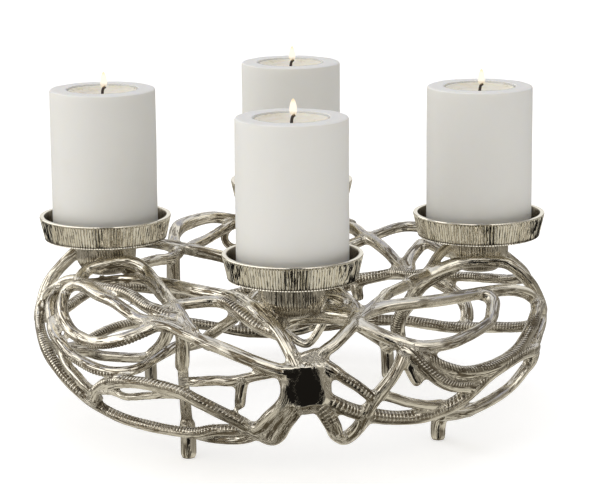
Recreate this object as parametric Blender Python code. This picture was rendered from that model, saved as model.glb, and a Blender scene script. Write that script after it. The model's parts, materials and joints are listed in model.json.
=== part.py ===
"""Advent candle ring: a cast ring of woven twigs with four dishes, each holding a pillar candle.

The ring stands on four short legs. Four round necks rise out of its twigs and each carries a
shallow ribbed dish, held by one countersunk screw. A pillar candle stands in each dish, and a clear
cup of wax with its wick is let into the candle's top.
"""
import math

import bmesh
import bpy
from mathutils import Matrix, Vector

# Overall sizes, in metres
RIM_HEIGHT = 0.157          # ground to the dishes' rims
CANDLE_CIRCLE = 0.1425      # radius of the circle through the candles' middles
CAGE_MIDDLE = 0.072         # height of the middle of the ring's cage of twigs
GAP = 0.0003                # clearance between pieces that rest on each other

# Dish
DISH_RIM_DIAMETER = 0.100
DISH_FOOT_DIAMETER = 0.093
DISH_HEIGHT = 0.018
DISH_WALL = 0.0035
DISH_FLOOR = 0.0045
DISH_SIDES = 48             # every second one is a rib
RIB_DEPTH = 0.0009

# Neck under each dish
NECK_DIAMETER = 0.045
NECK_LENGTH = 0.027
NECK_SIDES = 20
NECK_RIB_DEPTH = 0.0010

# Screw that holds a dish on its neck
SCREW_HEAD_DIAMETER = 0.0095
SCREW_SHANK_DIAMETER = 0.0050
SCREW_HEAD_HEIGHT = 0.0023
SCREW_LENGTH = 0.0165
SCREW_SIDES = 12

# Candle, and the cup of wax in its top
CANDLE_DIAMETER = 0.080
CANDLE_HEIGHT = 0.110
CANDLE_EDGE = 0.0015
CANDLE_SIDES = 28
CUP_DIAMETER = 0.054
CUP_HEIGHT = 0.0217
CUP_WALL = 0.0008
CUP_SIDES = 24
WAX_BELOW_RIM = 0.0035      # height of the cup's rim above the wax
WAX_POOL_DEPTH = 0.0010     # how much the wax sinks towards its wick
WICK_DIAMETER = 0.0022
WICK_ABOVE_WAX = 0.0058
WICK_IN_WAX = 0.0100
WICK_SIDES = 6

# Twigs of the ring
TWIG_SIDES = 6
TWIG_STEP = 0.024           # longest distance between two sections of a twig
TWIG_TURN = math.radians(45)    # most that a twig turns between two sections
FACES_KEPT = 0.80           # share of the joined ring's triangles that its shape needs
KNOT_THICKNESS = 0.014      # the two knots are flatter than they are wide

# Side of the ring on which each candle stands, as an azimuth in degrees
PLACES = {"front": 270, "left": 180, "right": 0, "back": 90}

# Every twig's width in mm and its route: azimuth in degrees (0 is right, 270 the front),
# distance from the middle of the ring in mm and height above the ground in mm
TWIGS = {
    # Left half of the front
    "left_shoulder": (9, [(181, 158, 133), (180, 170, 124), (179, 187, 104), (181, 194, 83),
        (183, 194, 75)]),
    "left_flank": (8, [(193, 160, 115), (187, 172, 110), (184, 182, 102), (181, 189, 93),
        (182, 193, 84), (186, 194, 78), (193, 194, 74), (199, 194, 67), (204, 192, 59),
        (209, 189, 51), (213, 182, 41), (217, 174, 33), (223, 168, 28), (231, 164, 26),
        (240, 163, 26), (246, 166, 28), (251, 171, 33), (257, 172, 35), (263, 176, 39)]),
    "left_inner_flank": (7.5, [(187, 180, 102), (191, 186, 95), (197, 188, 87), (204, 190, 77),
        (207.5, 191, 70), (210.5, 191, 63), (214, 190, 58), (217, 189, 53), (218, 184, 48)]),
    "left_arch": (9, [(194, 166, 112), (191, 161, 117), (190, 154, 121), (192, 134, 126),
        (195, 123, 126), (199, 116, 121), (206, 116, 118), (216, 122, 117), (227, 137, 118),
        (235, 152, 117), (241, 165, 113), (245, 175, 108), (248, 180, 104)]),
    "left_cradle": (7, [(198, 162, 115), (193, 148, 112), (191, 135, 112), (195, 124, 113),
        (204, 119, 115), (216, 125, 116), (227, 140, 117), (234, 152, 117)]),
    "left_ribbed_bow": (9, [(196, 165, 114), (204, 159, 115), (211.5, 155, 117), (218, 153, 117),
        (224.5, 156, 115), (229, 159, 113), (234, 164, 113), (238, 166, 112), (242, 168, 112)]),
    "left_loop_top": (8.5, [(239, 176, 108), (232, 175, 108), (226, 170, 110), (218.5, 166, 113),
        (210.5, 166, 114), (203.5, 166, 115), (197, 169, 113), (194.5, 174, 109),
        (194.5, 177, 104), (198, 181, 100), (202.5, 184, 95), (209, 186, 89), (214, 186, 87),
        (221, 188, 88), (229.5, 188, 95), (237, 178, 106)]),
    "left_lower_bow": (7.5, [(199, 190, 91), (204, 193, 84), (213, 194, 76), (221, 194, 72),
        (226, 193, 71), (230, 190, 72), (232.5, 181, 74), (231.5, 155, 77), (231.5, 136, 80),
        (234, 131, 80), (240.5, 133, 86), (246, 140, 96), (255, 152, 112)]),
    "left_eye_top": (8.5, [(215, 181, 38), (218, 183, 45), (221, 186, 53), (225, 189, 60),
        (231, 194, 66), (235.5, 194, 68), (240, 194, 68), (246, 193, 65), (249, 193, 61),
        (255, 189, 51), (258, 185, 45), (260, 179, 39)]),
    "left_eye_thread": (5, [(222, 187, 52), (227, 189, 55), (231, 189, 54), (236, 188, 57),
        (242, 190, 61), (248, 191, 62)]),
    "left_eye_web": (11, [(214, 183, 45), (216.5, 181, 42), (217.5, 177, 38)]),
    "left_underbow": (7, [(241, 162, 27), (248, 161, 24), (256, 163, 25), (261, 168, 31),
        (264, 175, 39)]),
    "main_left": (9, [(236, 177, 107), (241, 177, 107), (244, 179, 105), (250.5, 183, 100),
        (254, 186, 98), (261, 190, 91), (267, 192, 85), (271, 191, 84)]),
    "arm_left": (10, [(272, 188, 77), (270.5, 189, 89), (267, 177, 107), (261, 156, 117),
        (256, 137, 118), (250, 120, 117), (243, 111, 116), (232, 107, 115), (220, 104, 114),
        (209, 103, 112), (198, 109, 111), (191, 118, 114), (185, 130, 118)]),
    "arm_left_low": (8, [(267.5, 178, 106), (264.5, 173, 107), (261, 167, 110), (254, 150, 117),
        (250, 140, 118), (245, 138, 118), (238, 156, 117), (236, 164, 114)]),
    "inner_left_rail": (6, [(241, 134, 87), (237, 116, 78), (232, 100, 73), (224, 91, 72),
        (212, 90, 72), (201, 91, 75), (192, 94, 84), (186, 103, 97), (182, 117, 109),
        (181, 128, 118)]),
    "leg_left": (8.5, [(237, 141, 14), (236.5, 142, 39), (236.5, 144, 59), (238, 150, 79),
        (240.5, 160, 95), (242, 170, 105)]),
    "leg_left_foot": (12, [(237, 141, 0), (237, 141, 14), (237, 142, 27)]),
    "left_leg_head": (10.5, [(236.5, 146, 67), (238, 150, 79), (240.5, 160, 95), (242, 170, 105)]),
    "twig_left": (7, [(236.5, 144, 57), (241, 160, 63), (247, 177, 69), (252, 180, 72),
        (257, 184, 74), (262, 187, 79), (268, 188, 83)]),
    "twig_left_stub": (8.5, [(259, 185, 75), (258.5, 185, 65), (258, 182, 54)]),
    "loop_knot_left": (9, [(266.5, 187, 87), (268, 190, 79), (268.5, 192, 71), (268, 192, 63),
        (266.5, 190, 56), (264.5, 187, 49), (262.5, 182, 41), (260, 179, 37)]),
    "lobe_left": (9, [(258, 178, 40), (260.5, 172, 35), (262.5, 167, 30), (264.5, 165, 27),
        (266.5, 168, 31), (268.5, 180, 44), (270.5, 186, 54), (272, 189, 63)]),
    "lobe_web_left": (9, [(269, 189, 60), (267, 187, 51), (265, 179, 40), (263.5, 169, 30)]),
    # The thick front knot and the twigs that go right of it
    "knot": (26, [(272, 185, 96), (273.5, 187, 83), (274, 187, 63), (274.5, 185, 54)]),
    "arm_right": (9, [(275, 188, 85), (276.5, 188, 96), (279, 185, 101), (284, 172, 110),
        (286, 165, 113)]),
    "arm_right_up": (8, [(286, 166, 113), (287, 158, 116), (287, 148, 118), (284, 136, 125),
        (281, 135, 129), (276, 138, 131)]),
    "right_rise": (8, [(284, 169, 112), (288, 163, 115), (292, 154, 118), (297, 141, 119),
        (303, 126, 118), (313, 115, 117), (325, 108, 116), (335, 105, 115), (341, 108, 115)]),
    "right_loop_top": (8.5, [(286, 164, 114), (294, 157, 117), (305, 158, 117),
        (311.5, 159, 116), (323, 163, 115), (334, 168, 112), (341, 175, 108), (346, 182, 102),
        (351, 188, 91), (354, 190, 82)]),
    "right_loop_low": (9, [(325, 165, 114), (327, 169, 113), (327, 174, 109), (324.5, 178, 105),
        (321, 183, 100), (316, 187, 98), (310.5, 188, 95), (305.5, 189, 93), (298, 189, 94),
        (292.5, 185, 100), (288.5, 179, 106), (285, 169, 111)]),
    "right_arch": (9, [(318, 112, 117), (326, 108, 117), (333, 106, 116), (340, 107, 115),
        (343, 113, 118), (347, 122, 121), (349, 133, 123), (351, 155, 123), (351.5, 167, 120),
        (353, 182, 105), (355, 190, 87), (355, 190, 80), (352, 190, 75), (345.5, 189, 70),
        (339.5, 189, 65), (338, 188, 56)]),
    "right_neck_web": (8, [(326, 107, 116), (336, 104, 114), (346, 107, 118), (352, 112, 126),
        (356, 120, 131.5), (358, 130, 133.5)]),
    "right_outer_low": (8.5, [(340, 192, 66), (339, 190, 57), (337.5, 186, 51), (335.5, 181, 43),
        (333, 177, 38), (327.5, 174, 35), (321.5, 172, 33), (315.5, 173, 33), (310, 174, 35),
        (305.5, 178, 38)]),
    "right_ribbed_rim": (9.5, [(340, 192, 67), (335, 194, 69), (328.5, 194, 71),
        (322.5, 194, 69), (317, 191, 63), (312, 191, 56), (308, 188, 48), (304.5, 183, 43),
        (299.5, 181, 41), (293.5, 180, 42), (288, 182, 46), (283.5, 185, 51), (280, 189, 57),
        (277, 190, 63)]),
    "right_fork_low": (9, [(293, 188, 95), (295, 191, 91), (297, 192, 84), (299.5, 194, 76),
        (302, 194, 69), (305.5, 194, 63), (310, 193, 60), (313, 190, 59)]),
    "right_fork_high": (8.5, [(294, 187, 94), (299, 191, 87), (302, 193, 80), (306, 194, 74),
        (310, 194, 71), (315, 194, 70), (320, 194, 71), (326, 194, 74), (331, 193, 79),
        (337, 192, 86), (344, 190, 92), (351, 190, 92)]),
    "right_stub": (9, [(295, 187, 94), (295, 189, 85), (296, 190, 76), (297.5, 191, 67)]),
    "right_tail": (7, [(287, 190, 65), (291.5, 190, 60), (295, 188, 55), (301, 184, 49),
        (306, 183, 47)]),
    "knot_right": (8.5, [(275.5, 189, 89), (278, 191, 85), (280.5, 192, 78), (283.5, 193, 71),
        (286.5, 192, 62)]),
    "right_cross": (9, [(294.5, 186, 95), (293.5, 190, 89), (292, 192, 81), (290.5, 192, 74),
        (288.5, 192, 67), (287, 190, 59), (285.5, 185, 48), (285, 174, 36), (283, 164, 26)]),
    "right_lobe": (8, [(274, 189, 61), (276, 188, 52), (278, 180, 41), (279.5, 172, 32),
        (282.5, 164, 25), (284.5, 165, 28), (285.5, 174, 37), (286.5, 182, 46)]),
    "lobe_web_right": (10, [(275, 190, 62), (277, 188, 54), (278.5, 182, 44), (280, 174, 34)]),
    "leg_right": (12, [(324, 133, 0), (324, 133, 12), (323, 140, 21), (319, 169, 32)]),
    "front_web": (14, [(286, 158, 112), (281, 146, 112), (273, 139, 111), (267, 147, 110),
        (266, 160, 110)]),
    "front_web_right": (12, [(276.5, 140, 120), (281.5, 141, 120), (285, 148, 117)]),
    # Left half of the back
    "back_left_arch": (10, [(142, 118, 111), (137, 130, 117), (129, 150, 119), (124, 157, 122),
        (115, 157, 125), (104, 156, 120), (98, 155, 122), (92, 152, 124)]),
    "back_left_fork": (8, [(136, 113, 111), (134, 117, 113), (125, 122, 115), (117, 131, 118),
        (109, 150, 119), (104, 160, 117)]),
    "back_left_rail": (9, [(173, 146, 127), (165, 152, 122), (156, 156, 119), (152, 152, 117),
        (146, 140, 118), (138, 117, 113), (123, 104, 104), (114, 100, 99), (106, 104, 103),
        (98, 118, 111), (93, 128, 115)]),
    "back_left_rail_low": (8, [(180, 122, 114), (170, 119, 113), (160, 114, 112), (151, 112, 110),
        (141, 114, 111)]),
    "back_left_post": (10, [(146, 114, 114), (147.5, 112, 105), (148.5, 111, 87),
        (149.5, 111, 69), (149.5, 115, 51), (148, 124, 37), (147, 137, 25)]),
    "back_left_mid": (8, [(93, 188, 69), (98, 190, 57), (104, 191, 51), (110, 190, 49),
        (117, 191, 52), (124, 192, 59), (132, 192, 66), (140, 192, 71), (147, 192, 73),
        (153, 192, 71), (159, 192, 68), (166, 192, 67), (174, 192, 71), (181, 192, 77)]),
    "back_left_bottom": (8, [(84, 162, 27), (90, 160, 23), (97, 160, 22), (105, 162, 24),
        (113, 168, 29), (121, 174, 34), (130, 179, 38), (141, 183, 40), (150, 184, 38),
        (157, 184, 36), (167, 183, 41), (178, 184, 51), (188, 189, 60), (196, 192, 69)]),
    "back_left_low": (8, [(176, 184, 47), (169, 181, 41), (162, 173, 35), (159, 163, 30),
        (151, 144, 25), (147, 138, 25)]),
    "leg_back_left": (10, [(147, 137, 0), (147, 137, 13), (147, 138, 26)]),
    # Right half of the back
    "back_right_rail": (9, [(92, 128, 117), (86, 140, 120), (80, 142, 119), (69, 134, 119),
        (62, 122, 116), (55, 117, 113), (46, 109, 109), (34, 102, 103), (24, 100, 100),
        (14, 97, 95), (4, 94, 89)]),
    "back_right_fork": (8, [(84, 133, 121), (77, 119, 112), (70, 110, 107), (66, 110, 109),
        (58, 126, 116), (55, 150, 119), (50, 158, 120), (42, 158, 118), (32, 156, 119),
        (20, 152, 122), (10, 148, 125), (5, 146, 128)]),
    "back_right_v": (9.5, [(24, 101, 101), (30, 107, 108), (35, 128, 118)]),
    "back_right_w": (8, [(35, 129, 118), (18, 127, 117), (10, 128, 120), (5, 134, 124)]),
    "back_right_ribbed": (9, [(88, 130, 118), (86, 116, 104), (80, 103, 87), (72, 99, 76),
        (64, 95, 79), (54, 92, 86), (37, 97, 95), (28, 98, 98), (15, 101, 101), (8, 108, 105),
        (2, 118, 111), (1, 128, 118)]),
    "back_right_stub": (9, [(57, 93, 85), (55.5, 91, 79), (54.5, 92, 69)]),
    "inner_right_sweep": (11, [(357, 128, 118), (358, 104, 104), (4, 96, 93), (11, 92, 81),
        (20, 91, 69), (27, 93, 57), (33, 100, 46), (42, 112, 35), (52, 124, 27)]),
    "back_right_inner_low": (8, [(78, 127, 52), (72, 128, 46), (67, 122, 42), (60, 118, 37),
        (52, 124, 27)]),
    "leg_back_right": (11, [(51.5, 124, 0), (51.5, 124, 13), (52, 124, 27)]),
    "back_inner_loop": (7, [(92, 137, 114), (97, 134, 95), (101, 131, 69), (99, 128, 43),
        (95, 120, 36), (87, 118, 24), (83, 118, 25), (78, 121, 41), (77, 125, 51), (79, 136, 59),
        (84, 155, 65), (88, 176, 69), (90, 184, 69)]),
    "back_right_low": (8.5, [(96, 178, 41), (90, 168, 31), (82, 164, 27), (74, 166, 30),
        (66, 170, 33), (58, 173, 35), (50, 174, 35), (42, 176, 36), (34, 180, 40), (26, 184, 45),
        (20, 195, 49), (15, 201, 56), (12, 197, 65), (9, 193, 75), (5, 190, 85), (0, 189, 86),
        (355, 189, 84)]),
    "back_right_drop": (10, [(60, 190, 71), (53, 193, 68), (48, 192, 64), (43, 190, 58),
        (40, 187, 50), (38, 181, 41)]),
    "back_right_mid": (8, [(93, 188, 67), (86, 190, 61), (79, 191, 61), (72, 192, 64),
        (66, 193, 67), (59, 193, 69), (51, 193, 72), (42, 193, 76), (33, 193, 80), (24, 192, 85),
        (15, 190, 93), (8, 182, 103), (4, 170, 115), (1, 152, 130)]),
    # The thick back knot and its arms
    "back_knot": (26, [(91.5, 188, 91), (92.5, 189, 81), (93.5, 189, 62), (94, 187, 54)]),
    "back_arm_left": (9, [(93, 188, 85), (96, 186, 98), (100, 177, 109), (105, 166, 116),
        (111, 157, 121)]),
    "back_arm_right": (9, [(91, 188, 85), (88, 187, 97), (83, 179, 107), (78, 167, 115),
        (73, 152, 119), (69, 140, 119)]),
    "back_lobe_left": (8, [(94, 188, 62), (98, 186, 51), (102, 180, 41), (105, 163, 25)]),
    "back_lobe_right": (8, [(93, 188, 61), (91, 187, 51), (87, 181, 41), (82, 172, 33),
        (76, 167, 30)]),
    "back_left_hook": (6, [(107, 152, 120), (110, 150, 117), (112, 149, 111), (111.5, 148, 104),
        (109, 146, 100), (106, 146, 102)]),
}


def clear_scene():
    """Removes whatever the file holds at the start."""
    for thing in list(bpy.data.objects):
        bpy.data.objects.remove(thing, do_unlink=True)


def material(name, colour, metallic, roughness, transmission=0.0):
    """Makes a Principled material."""
    made = bpy.data.materials.new(name)
    made.use_nodes = True
    shader = made.node_tree.nodes["Principled BSDF"]
    shader.inputs["Base Color"].default_value = (*colour, 1.0)
    shader.inputs["Metallic"].default_value = metallic
    shader.inputs["Roughness"].default_value = roughness
    shader.inputs["Transmission Weight"].default_value = transmission
    return made


def add_object(name, bm, finish=None, smooth=False, collection=None):
    """Turns a bmesh into an object with outward normals and its material."""
    bmesh.ops.recalc_face_normals(bm, faces=bm.faces)
    mesh = bpy.data.meshes.new(name)
    bm.to_mesh(mesh)
    bm.free()
    thing = bpy.data.objects.new(name, mesh)
    (collection or bpy.context.scene.collection).objects.link(thing)
    if finish:
        mesh.materials.append(finish)
    for face in mesh.polygons:
        face.use_smooth = smooth
    return thing


def draw_out(bm, cap, keep):
    """Extrudes an end face, keeping the old one only where the solid starts."""
    step = bmesh.ops.extrude_face_region(bm, geom=[cap])["geom"]
    if not keep:
        bmesh.ops.delete(bm, geom=[cap], context="FACES_ONLY")
    end = next(item for item in step if isinstance(item, bmesh.types.BMFace))
    return end, [item for item in step if isinstance(item, bmesh.types.BMVert)]


def turned(bm, profile, sides, matrix=Matrix()):
    """Adds a round solid: a disc drawn through each (radius, height) of the profile."""
    first_radius, first_height = profile[0]
    made = bmesh.ops.create_circle(bm, cap_ends=True, segments=sides, radius=first_radius,
                                   matrix=matrix @ Matrix.Translation((0, 0, first_height)))
    verts = made["verts"]
    cap = next(iter(set.intersection(*(set(v.link_faces) for v in verts))))
    inverse = matrix.inverted()
    base = cap
    for (radius_before, height_before), (radius, height) in zip(profile, profile[1:]):
        cap, verts = draw_out(bm, cap, keep=cap is base)
        bmesh.ops.scale(bm, vec=(radius / radius_before, radius / radius_before, 1.0),
                        space=inverse, verts=verts)
        bmesh.ops.translate(bm, vec=(0, 0, height - height_before), space=inverse, verts=verts)


def at_place(place, height):
    """Frame of a candle place: its origin on the candle circle, x pointing outward."""
    azimuth = math.radians(PLACES[place])
    middle = Vector((CANDLE_CIRCLE * math.cos(azimuth), CANDLE_CIRCLE * math.sin(azimuth), height))
    return Matrix.Translation(middle) @ Matrix.Rotation(azimuth, 4, "Z")


def apply_modifier(thing, modifier):
    """Replaces an object's mesh by the one that its modifier makes."""
    bpy.context.view_layer.update()
    evaluated = thing.evaluated_get(bpy.context.evaluated_depsgraph_get())
    mesh = bpy.data.meshes.new_from_object(evaluated)
    thing.modifiers.remove(modifier)
    old = thing.data
    thing.data = mesh
    name = old.name
    bpy.data.meshes.remove(old)
    mesh.name = name


def drill(thing, place):
    """Cuts the hole of a dish's screw into a dish or into the neck under it."""
    bit = screw_shape("bit", place, GAP)
    modifier = thing.modifiers.new("drill", "BOOLEAN")
    modifier.operation = "DIFFERENCE"
    modifier.solver = "MANIFOLD"
    modifier.object = bit
    apply_modifier(thing, modifier)
    bpy.data.objects.remove(bit, do_unlink=True)


def route_curve(route, per_span=8):
    """Closely spaced points and directions of a Catmull-Rom curve through a twig's route."""
    places = [Vector((distance * math.cos(math.radians(azimuth)),
                      distance * math.sin(math.radians(azimuth)), height)) / 1000
              for azimuth, distance, height in route]
    places = [2 * places[0] - places[1], *places, 2 * places[-1] - places[-2]]
    curve = []
    for a, b, c, d in zip(places, places[1:], places[2:], places[3:]):
        slope, bend, twist = c - a, 2 * a - 5 * b + 4 * c - d, 3 * b - a - 3 * c + d
        last = c is places[-2]
        for index in range(per_span + last):
            t = index / per_span
            curve.append((b + (slope * t + bend * t ** 2 + twist * t ** 3) / 2,
                          (slope + 2 * bend * t + 3 * twist * t ** 2).normalized()))
    return curve


def sections(curve):
    """Frames along a curve, closer where it turns: z along it, x out of the ring's cage."""
    chosen = curve[:1]
    run = turn = 0.0
    for before, after in zip(curve, curve[1:]):
        run += (after[0] - before[0]).length
        turn += after[1].angle(before[1])
        if run >= TWIG_STEP or turn >= TWIG_TURN:
            chosen.append(after)
            run = turn = 0.0
    if run < TWIG_STEP / 3 and len(chosen) > 2:
        chosen.pop()
    chosen.append(curve[-1])
    frames = []
    out = None
    for point, along in chosen:
        azimuth = math.atan2(point.y, point.x)
        core = Vector((CANDLE_CIRCLE * math.cos(azimuth), CANDLE_CIRCLE * math.sin(azimuth),
                       CAGE_MIDDLE))
        wish = (point - core).normalized()
        if out is not None:
            wish = wish * 0.5 + out
        out = (wish - along * wish.dot(along)).normalized()
        turned_frame = Matrix((out, along.cross(out), along)).transposed().to_4x4()
        frames.append(Matrix.Translation(point) @ turned_frame)
    return frames


def twig(name, width, route, collection):
    """Adds one twig: a hexagon drawn along its route, its corners at the sides."""
    frames = sections(route_curve(route))
    flat = KNOT_THICKNESS / width / math.cos(math.pi / TWIG_SIDES) if width > 0.02 else 1.0
    shape = Matrix.Diagonal((flat, 1.0, 1.0, 1.0)) @ Matrix.Rotation(math.pi / 2, 4, "Z")
    bm = bmesh.new()
    bmesh.ops.create_circle(bm, cap_ends=True, segments=TWIG_SIDES, radius=width / 2,
                            matrix=frames[0] @ shape)
    base = cap = next(iter(bm.faces))
    for before, after in zip(frames, frames[1:]):
        cap, verts = draw_out(bm, cap, keep=cap is base)
        bmesh.ops.transform(bm, matrix=after @ before.inverted(), verts=verts)
    bmesh.ops.triangulate(bm, faces=bm.faces)
    return add_object(name, bm, collection=collection)


def raise_ribs(bm, place, height_range, least_radius, depth, sides):
    """Moves every second column of a round wall outward by the depth of a rib."""
    inverse = at_place(place, 0).inverted()
    for vert in bm.verts:
        local = inverse @ vert.co
        radius = math.hypot(local.x, local.y)
        column = round(math.atan2(local.y, local.x) / math.tau * sides)
        if radius > least_radius and height_range[0] < local.z < height_range[1] and column % 2:
            factor = 1 + depth / radius
            local.x *= factor
            local.y *= factor
            vert.co = at_place(place, 0) @ local


def neck(place, collection=None):
    """Adds the ribbed neck that carries one dish, rounded below."""
    top = RIM_HEIGHT - DISH_HEIGHT - GAP
    radius = NECK_DIAMETER / 2
    profile = [(radius * 0.45, top - NECK_LENGTH), (radius * 0.78, top - NECK_LENGTH * 0.88),
               (radius * 0.96, top - NECK_LENGTH * 0.66), (radius, top - NECK_LENGTH * 0.4),
               (radius, top)]
    bm = bmesh.new()
    turned(bm, profile, NECK_SIDES, at_place(place, 0))
    raise_ribs(bm, place, (top - NECK_LENGTH * 0.7, top + GAP), radius * 0.9, -NECK_RIB_DEPTH,
               NECK_SIDES)
    bmesh.ops.triangulate(bm, faces=bm.faces)
    return add_object("neck_" + place, bm, collection=collection)


def branch_ring(finish):
    """Builds the ring: all twigs and necks joined into one casting."""
    parts = bpy.data.collections.new("ring_parts")
    bpy.context.scene.collection.children.link(parts)
    for name, (width, route) in TWIGS.items():
        twig(name, width / 1000, route, parts)
    for place in ("left", "right", "back"):
        neck(place, parts)
    ring = neck("front")
    ring.name = ring.data.name = "branch_ring"
    join = ring.modifiers.new("join", "BOOLEAN")
    join.operation = "UNION"
    join.solver = "MANIFOLD"
    join.operand_type = "COLLECTION"
    join.collection = parts
    apply_modifier(ring, join)
    for thing in list(parts.objects):
        bpy.data.objects.remove(thing, do_unlink=True)
    bpy.data.collections.remove(parts)
    thin = ring.modifiers.new("thin", "DECIMATE")
    thin.ratio = FACES_KEPT
    thin.use_collapse_triangulate = True
    apply_modifier(ring, thin)
    for place in PLACES:
        drill(ring, place)
    ring.data.materials.clear()
    ring.data.materials.append(finish)
    return ring


def screw_shape(name, place, clearance, finish=None):
    """Builds a countersunk screw, or with a clearance the space that it needs."""
    floor = RIM_HEIGHT - DISH_HEIGHT + DISH_FLOOR
    head = SCREW_HEAD_DIAMETER / 2 + clearance
    shank = SCREW_SHANK_DIAMETER / 2 + clearance
    tip = floor - SCREW_LENGTH - 2 * clearance
    profile = [(shank * 0.6, tip), (shank, tip + 0.001),
               (shank, floor - SCREW_HEAD_HEIGHT - GAP), (head, floor - GAP)]
    if clearance:
        profile.append((head, floor + 0.001))
    bm = bmesh.new()
    turned(bm, profile, SCREW_SIDES, at_place(place, 0))
    return add_object(name, bm, finish)


def dish(place, finish):
    """Builds one shallow dish with upright ribs around its wall and a screw hole."""
    foot = DISH_FOOT_DIAMETER / 2
    rim = DISH_RIM_DIAMETER / 2
    base = RIM_HEIGHT - DISH_HEIGHT
    profile = [(foot - 0.0015, base), (foot, base + 0.0015), (rim - 0.0004, base + 0.0160),
               (rim, base + 0.0170), (rim - 0.0006, RIM_HEIGHT), (rim - DISH_WALL, RIM_HEIGHT),
               (rim - DISH_WALL - 0.0005, base + DISH_FLOOR)]
    bm = bmesh.new()
    turned(bm, profile, DISH_SIDES, at_place(place, 0))
    raise_ribs(bm, place, (base + 0.001, base + 0.0165), foot - 0.001, -RIB_DEPTH, DISH_SIDES)
    thing = add_object("dish_" + place, bm, finish)
    drill(thing, place)
    return thing


def candle(place, finish):
    """Builds one pillar candle with a round well in its top."""
    radius = CANDLE_DIAMETER / 2
    bottom = RIM_HEIGHT - DISH_HEIGHT + DISH_FLOOR + GAP
    top = bottom + CANDLE_HEIGHT
    well = CUP_DIAMETER / 2 + GAP
    profile = [(radius - CANDLE_EDGE, bottom), (radius, bottom + CANDLE_EDGE),
               (radius, top - CANDLE_EDGE), (radius - CANDLE_EDGE, top), (well, top),
               (well, top - CUP_HEIGHT - GAP)]
    bm = bmesh.new()
    turned(bm, profile, CANDLE_SIDES, at_place(place, 0))
    return add_object("candle_" + place, bm, finish, smooth=True)


def cup_bottom():
    """Height of the underside of the cups that hold the wax."""
    return RIM_HEIGHT - DISH_HEIGHT + DISH_FLOOR + GAP + CANDLE_HEIGHT - CUP_HEIGHT


def wax_middle():
    """Height of the wax where the wick comes out of it."""
    return cup_bottom() + CUP_HEIGHT - WAX_BELOW_RIM - WAX_POOL_DEPTH


def insert_cup(place, finish):
    """Builds the clear cup in the candle's top."""
    outside = CUP_DIAMETER / 2
    inside = outside - CUP_WALL
    bottom = cup_bottom()
    profile = [(outside, bottom), (outside, bottom + CUP_HEIGHT), (inside, bottom + CUP_HEIGHT),
               (inside, bottom + CUP_WALL)]
    bm = bmesh.new()
    turned(bm, profile, CUP_SIDES, at_place(place, 0))
    return add_object("insert_cup_" + place, bm, finish, smooth=True)


def insert_wax(place, finish):
    """Builds the wax in the cup, a little hollow on top and with the wick's hole."""
    radius = CUP_DIAMETER / 2 - CUP_WALL - GAP
    bottom = cup_bottom() + CUP_WALL + GAP
    edge = wax_middle() + WAX_POOL_DEPTH
    hole = WICK_DIAMETER / 2 + GAP
    profile = [(radius, bottom), (radius, edge), (radius * 0.45, edge - WAX_POOL_DEPTH * 0.7),
               (hole, edge - WAX_POOL_DEPTH), (hole, wax_middle() - WICK_IN_WAX - GAP)]
    bm = bmesh.new()
    turned(bm, profile, CUP_SIDES, at_place(place, 0))
    return add_object("insert_wax_" + place, bm, finish, smooth=True)


def wick(place, finish):
    """Builds the wick: straight in the wax and bent over to the right above it."""
    start = wax_middle()
    azimuth = math.radians(PLACES[place])
    middle = Vector((CANDLE_CIRCLE * math.cos(azimuth), CANDLE_CIRCLE * math.sin(azimuth), 0))
    bends = [(0.0, -WICK_IN_WAX, 0), (0.0, 0.0005, 0), (0.0003, WICK_ABOVE_WAX * 0.55, 12),
             (0.0014, WICK_ABOVE_WAX * 0.9, 38), (0.0026, WICK_ABOVE_WAX, 68)]
    frames = [Matrix.Translation(middle + Vector((shift, 0, start + rise)))
              @ Matrix.Rotation(math.radians(lean), 4, "Y") for shift, rise, lean in bends]
    bm = bmesh.new()
    bmesh.ops.create_circle(bm, cap_ends=True, segments=WICK_SIDES, radius=WICK_DIAMETER / 2,
                            matrix=frames[0])
    base = cap = next(iter(bm.faces))
    for before, after in zip(frames, frames[1:]):
        cap, verts = draw_out(bm, cap, keep=cap is base)
        bmesh.ops.transform(bm, matrix=after @ before.inverted(), verts=verts)
    return add_object("wick_" + place, bm, finish, smooth=True)


def main():
    """Builds every piece of the candle ring."""
    clear_scene()
    nickel = material("nickel", (0.60, 0.56, 0.50), 1.0, 0.28)
    steel = material("screw_steel", (0.55, 0.55, 0.56), 1.0, 0.35)
    shell = material("white_wax", (0.90, 0.89, 0.86), 0.0, 0.45)
    clear = material("clear_cup", (0.95, 0.96, 0.97), 0.0, 0.05, transmission=1.0)
    cream = material("cream_wax", (0.93, 0.86, 0.70), 0.0, 0.35)
    cotton = material("wick_cotton", (0.05, 0.04, 0.035), 0.0, 0.9)
    branch_ring(nickel)
    for place in PLACES:
        dish(place, nickel)
        screw_shape("dish_screw_" + place, place, 0.0, steel)
        candle(place, shell)
        insert_cup(place, clear)
        insert_wax(place, cream)
        wick(place, cotton)


if __name__ == "__main__":
    main()
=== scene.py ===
"""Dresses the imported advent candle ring.

A nickel casting of bark-grooved twigs carries four ribbed dishes. Each dish holds a lit pillar
candle with a clear cup of wax in its top. Everything is in metres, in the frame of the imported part.
"""
from __future__ import annotations

import json
import logging
import math
from collections.abc import Iterable, Sequence
from dataclasses import dataclass, field
from enum import Enum

import bmesh
import bpy
import numpy as np
from mathutils import Matrix, Vector, kdtree, noise

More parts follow.
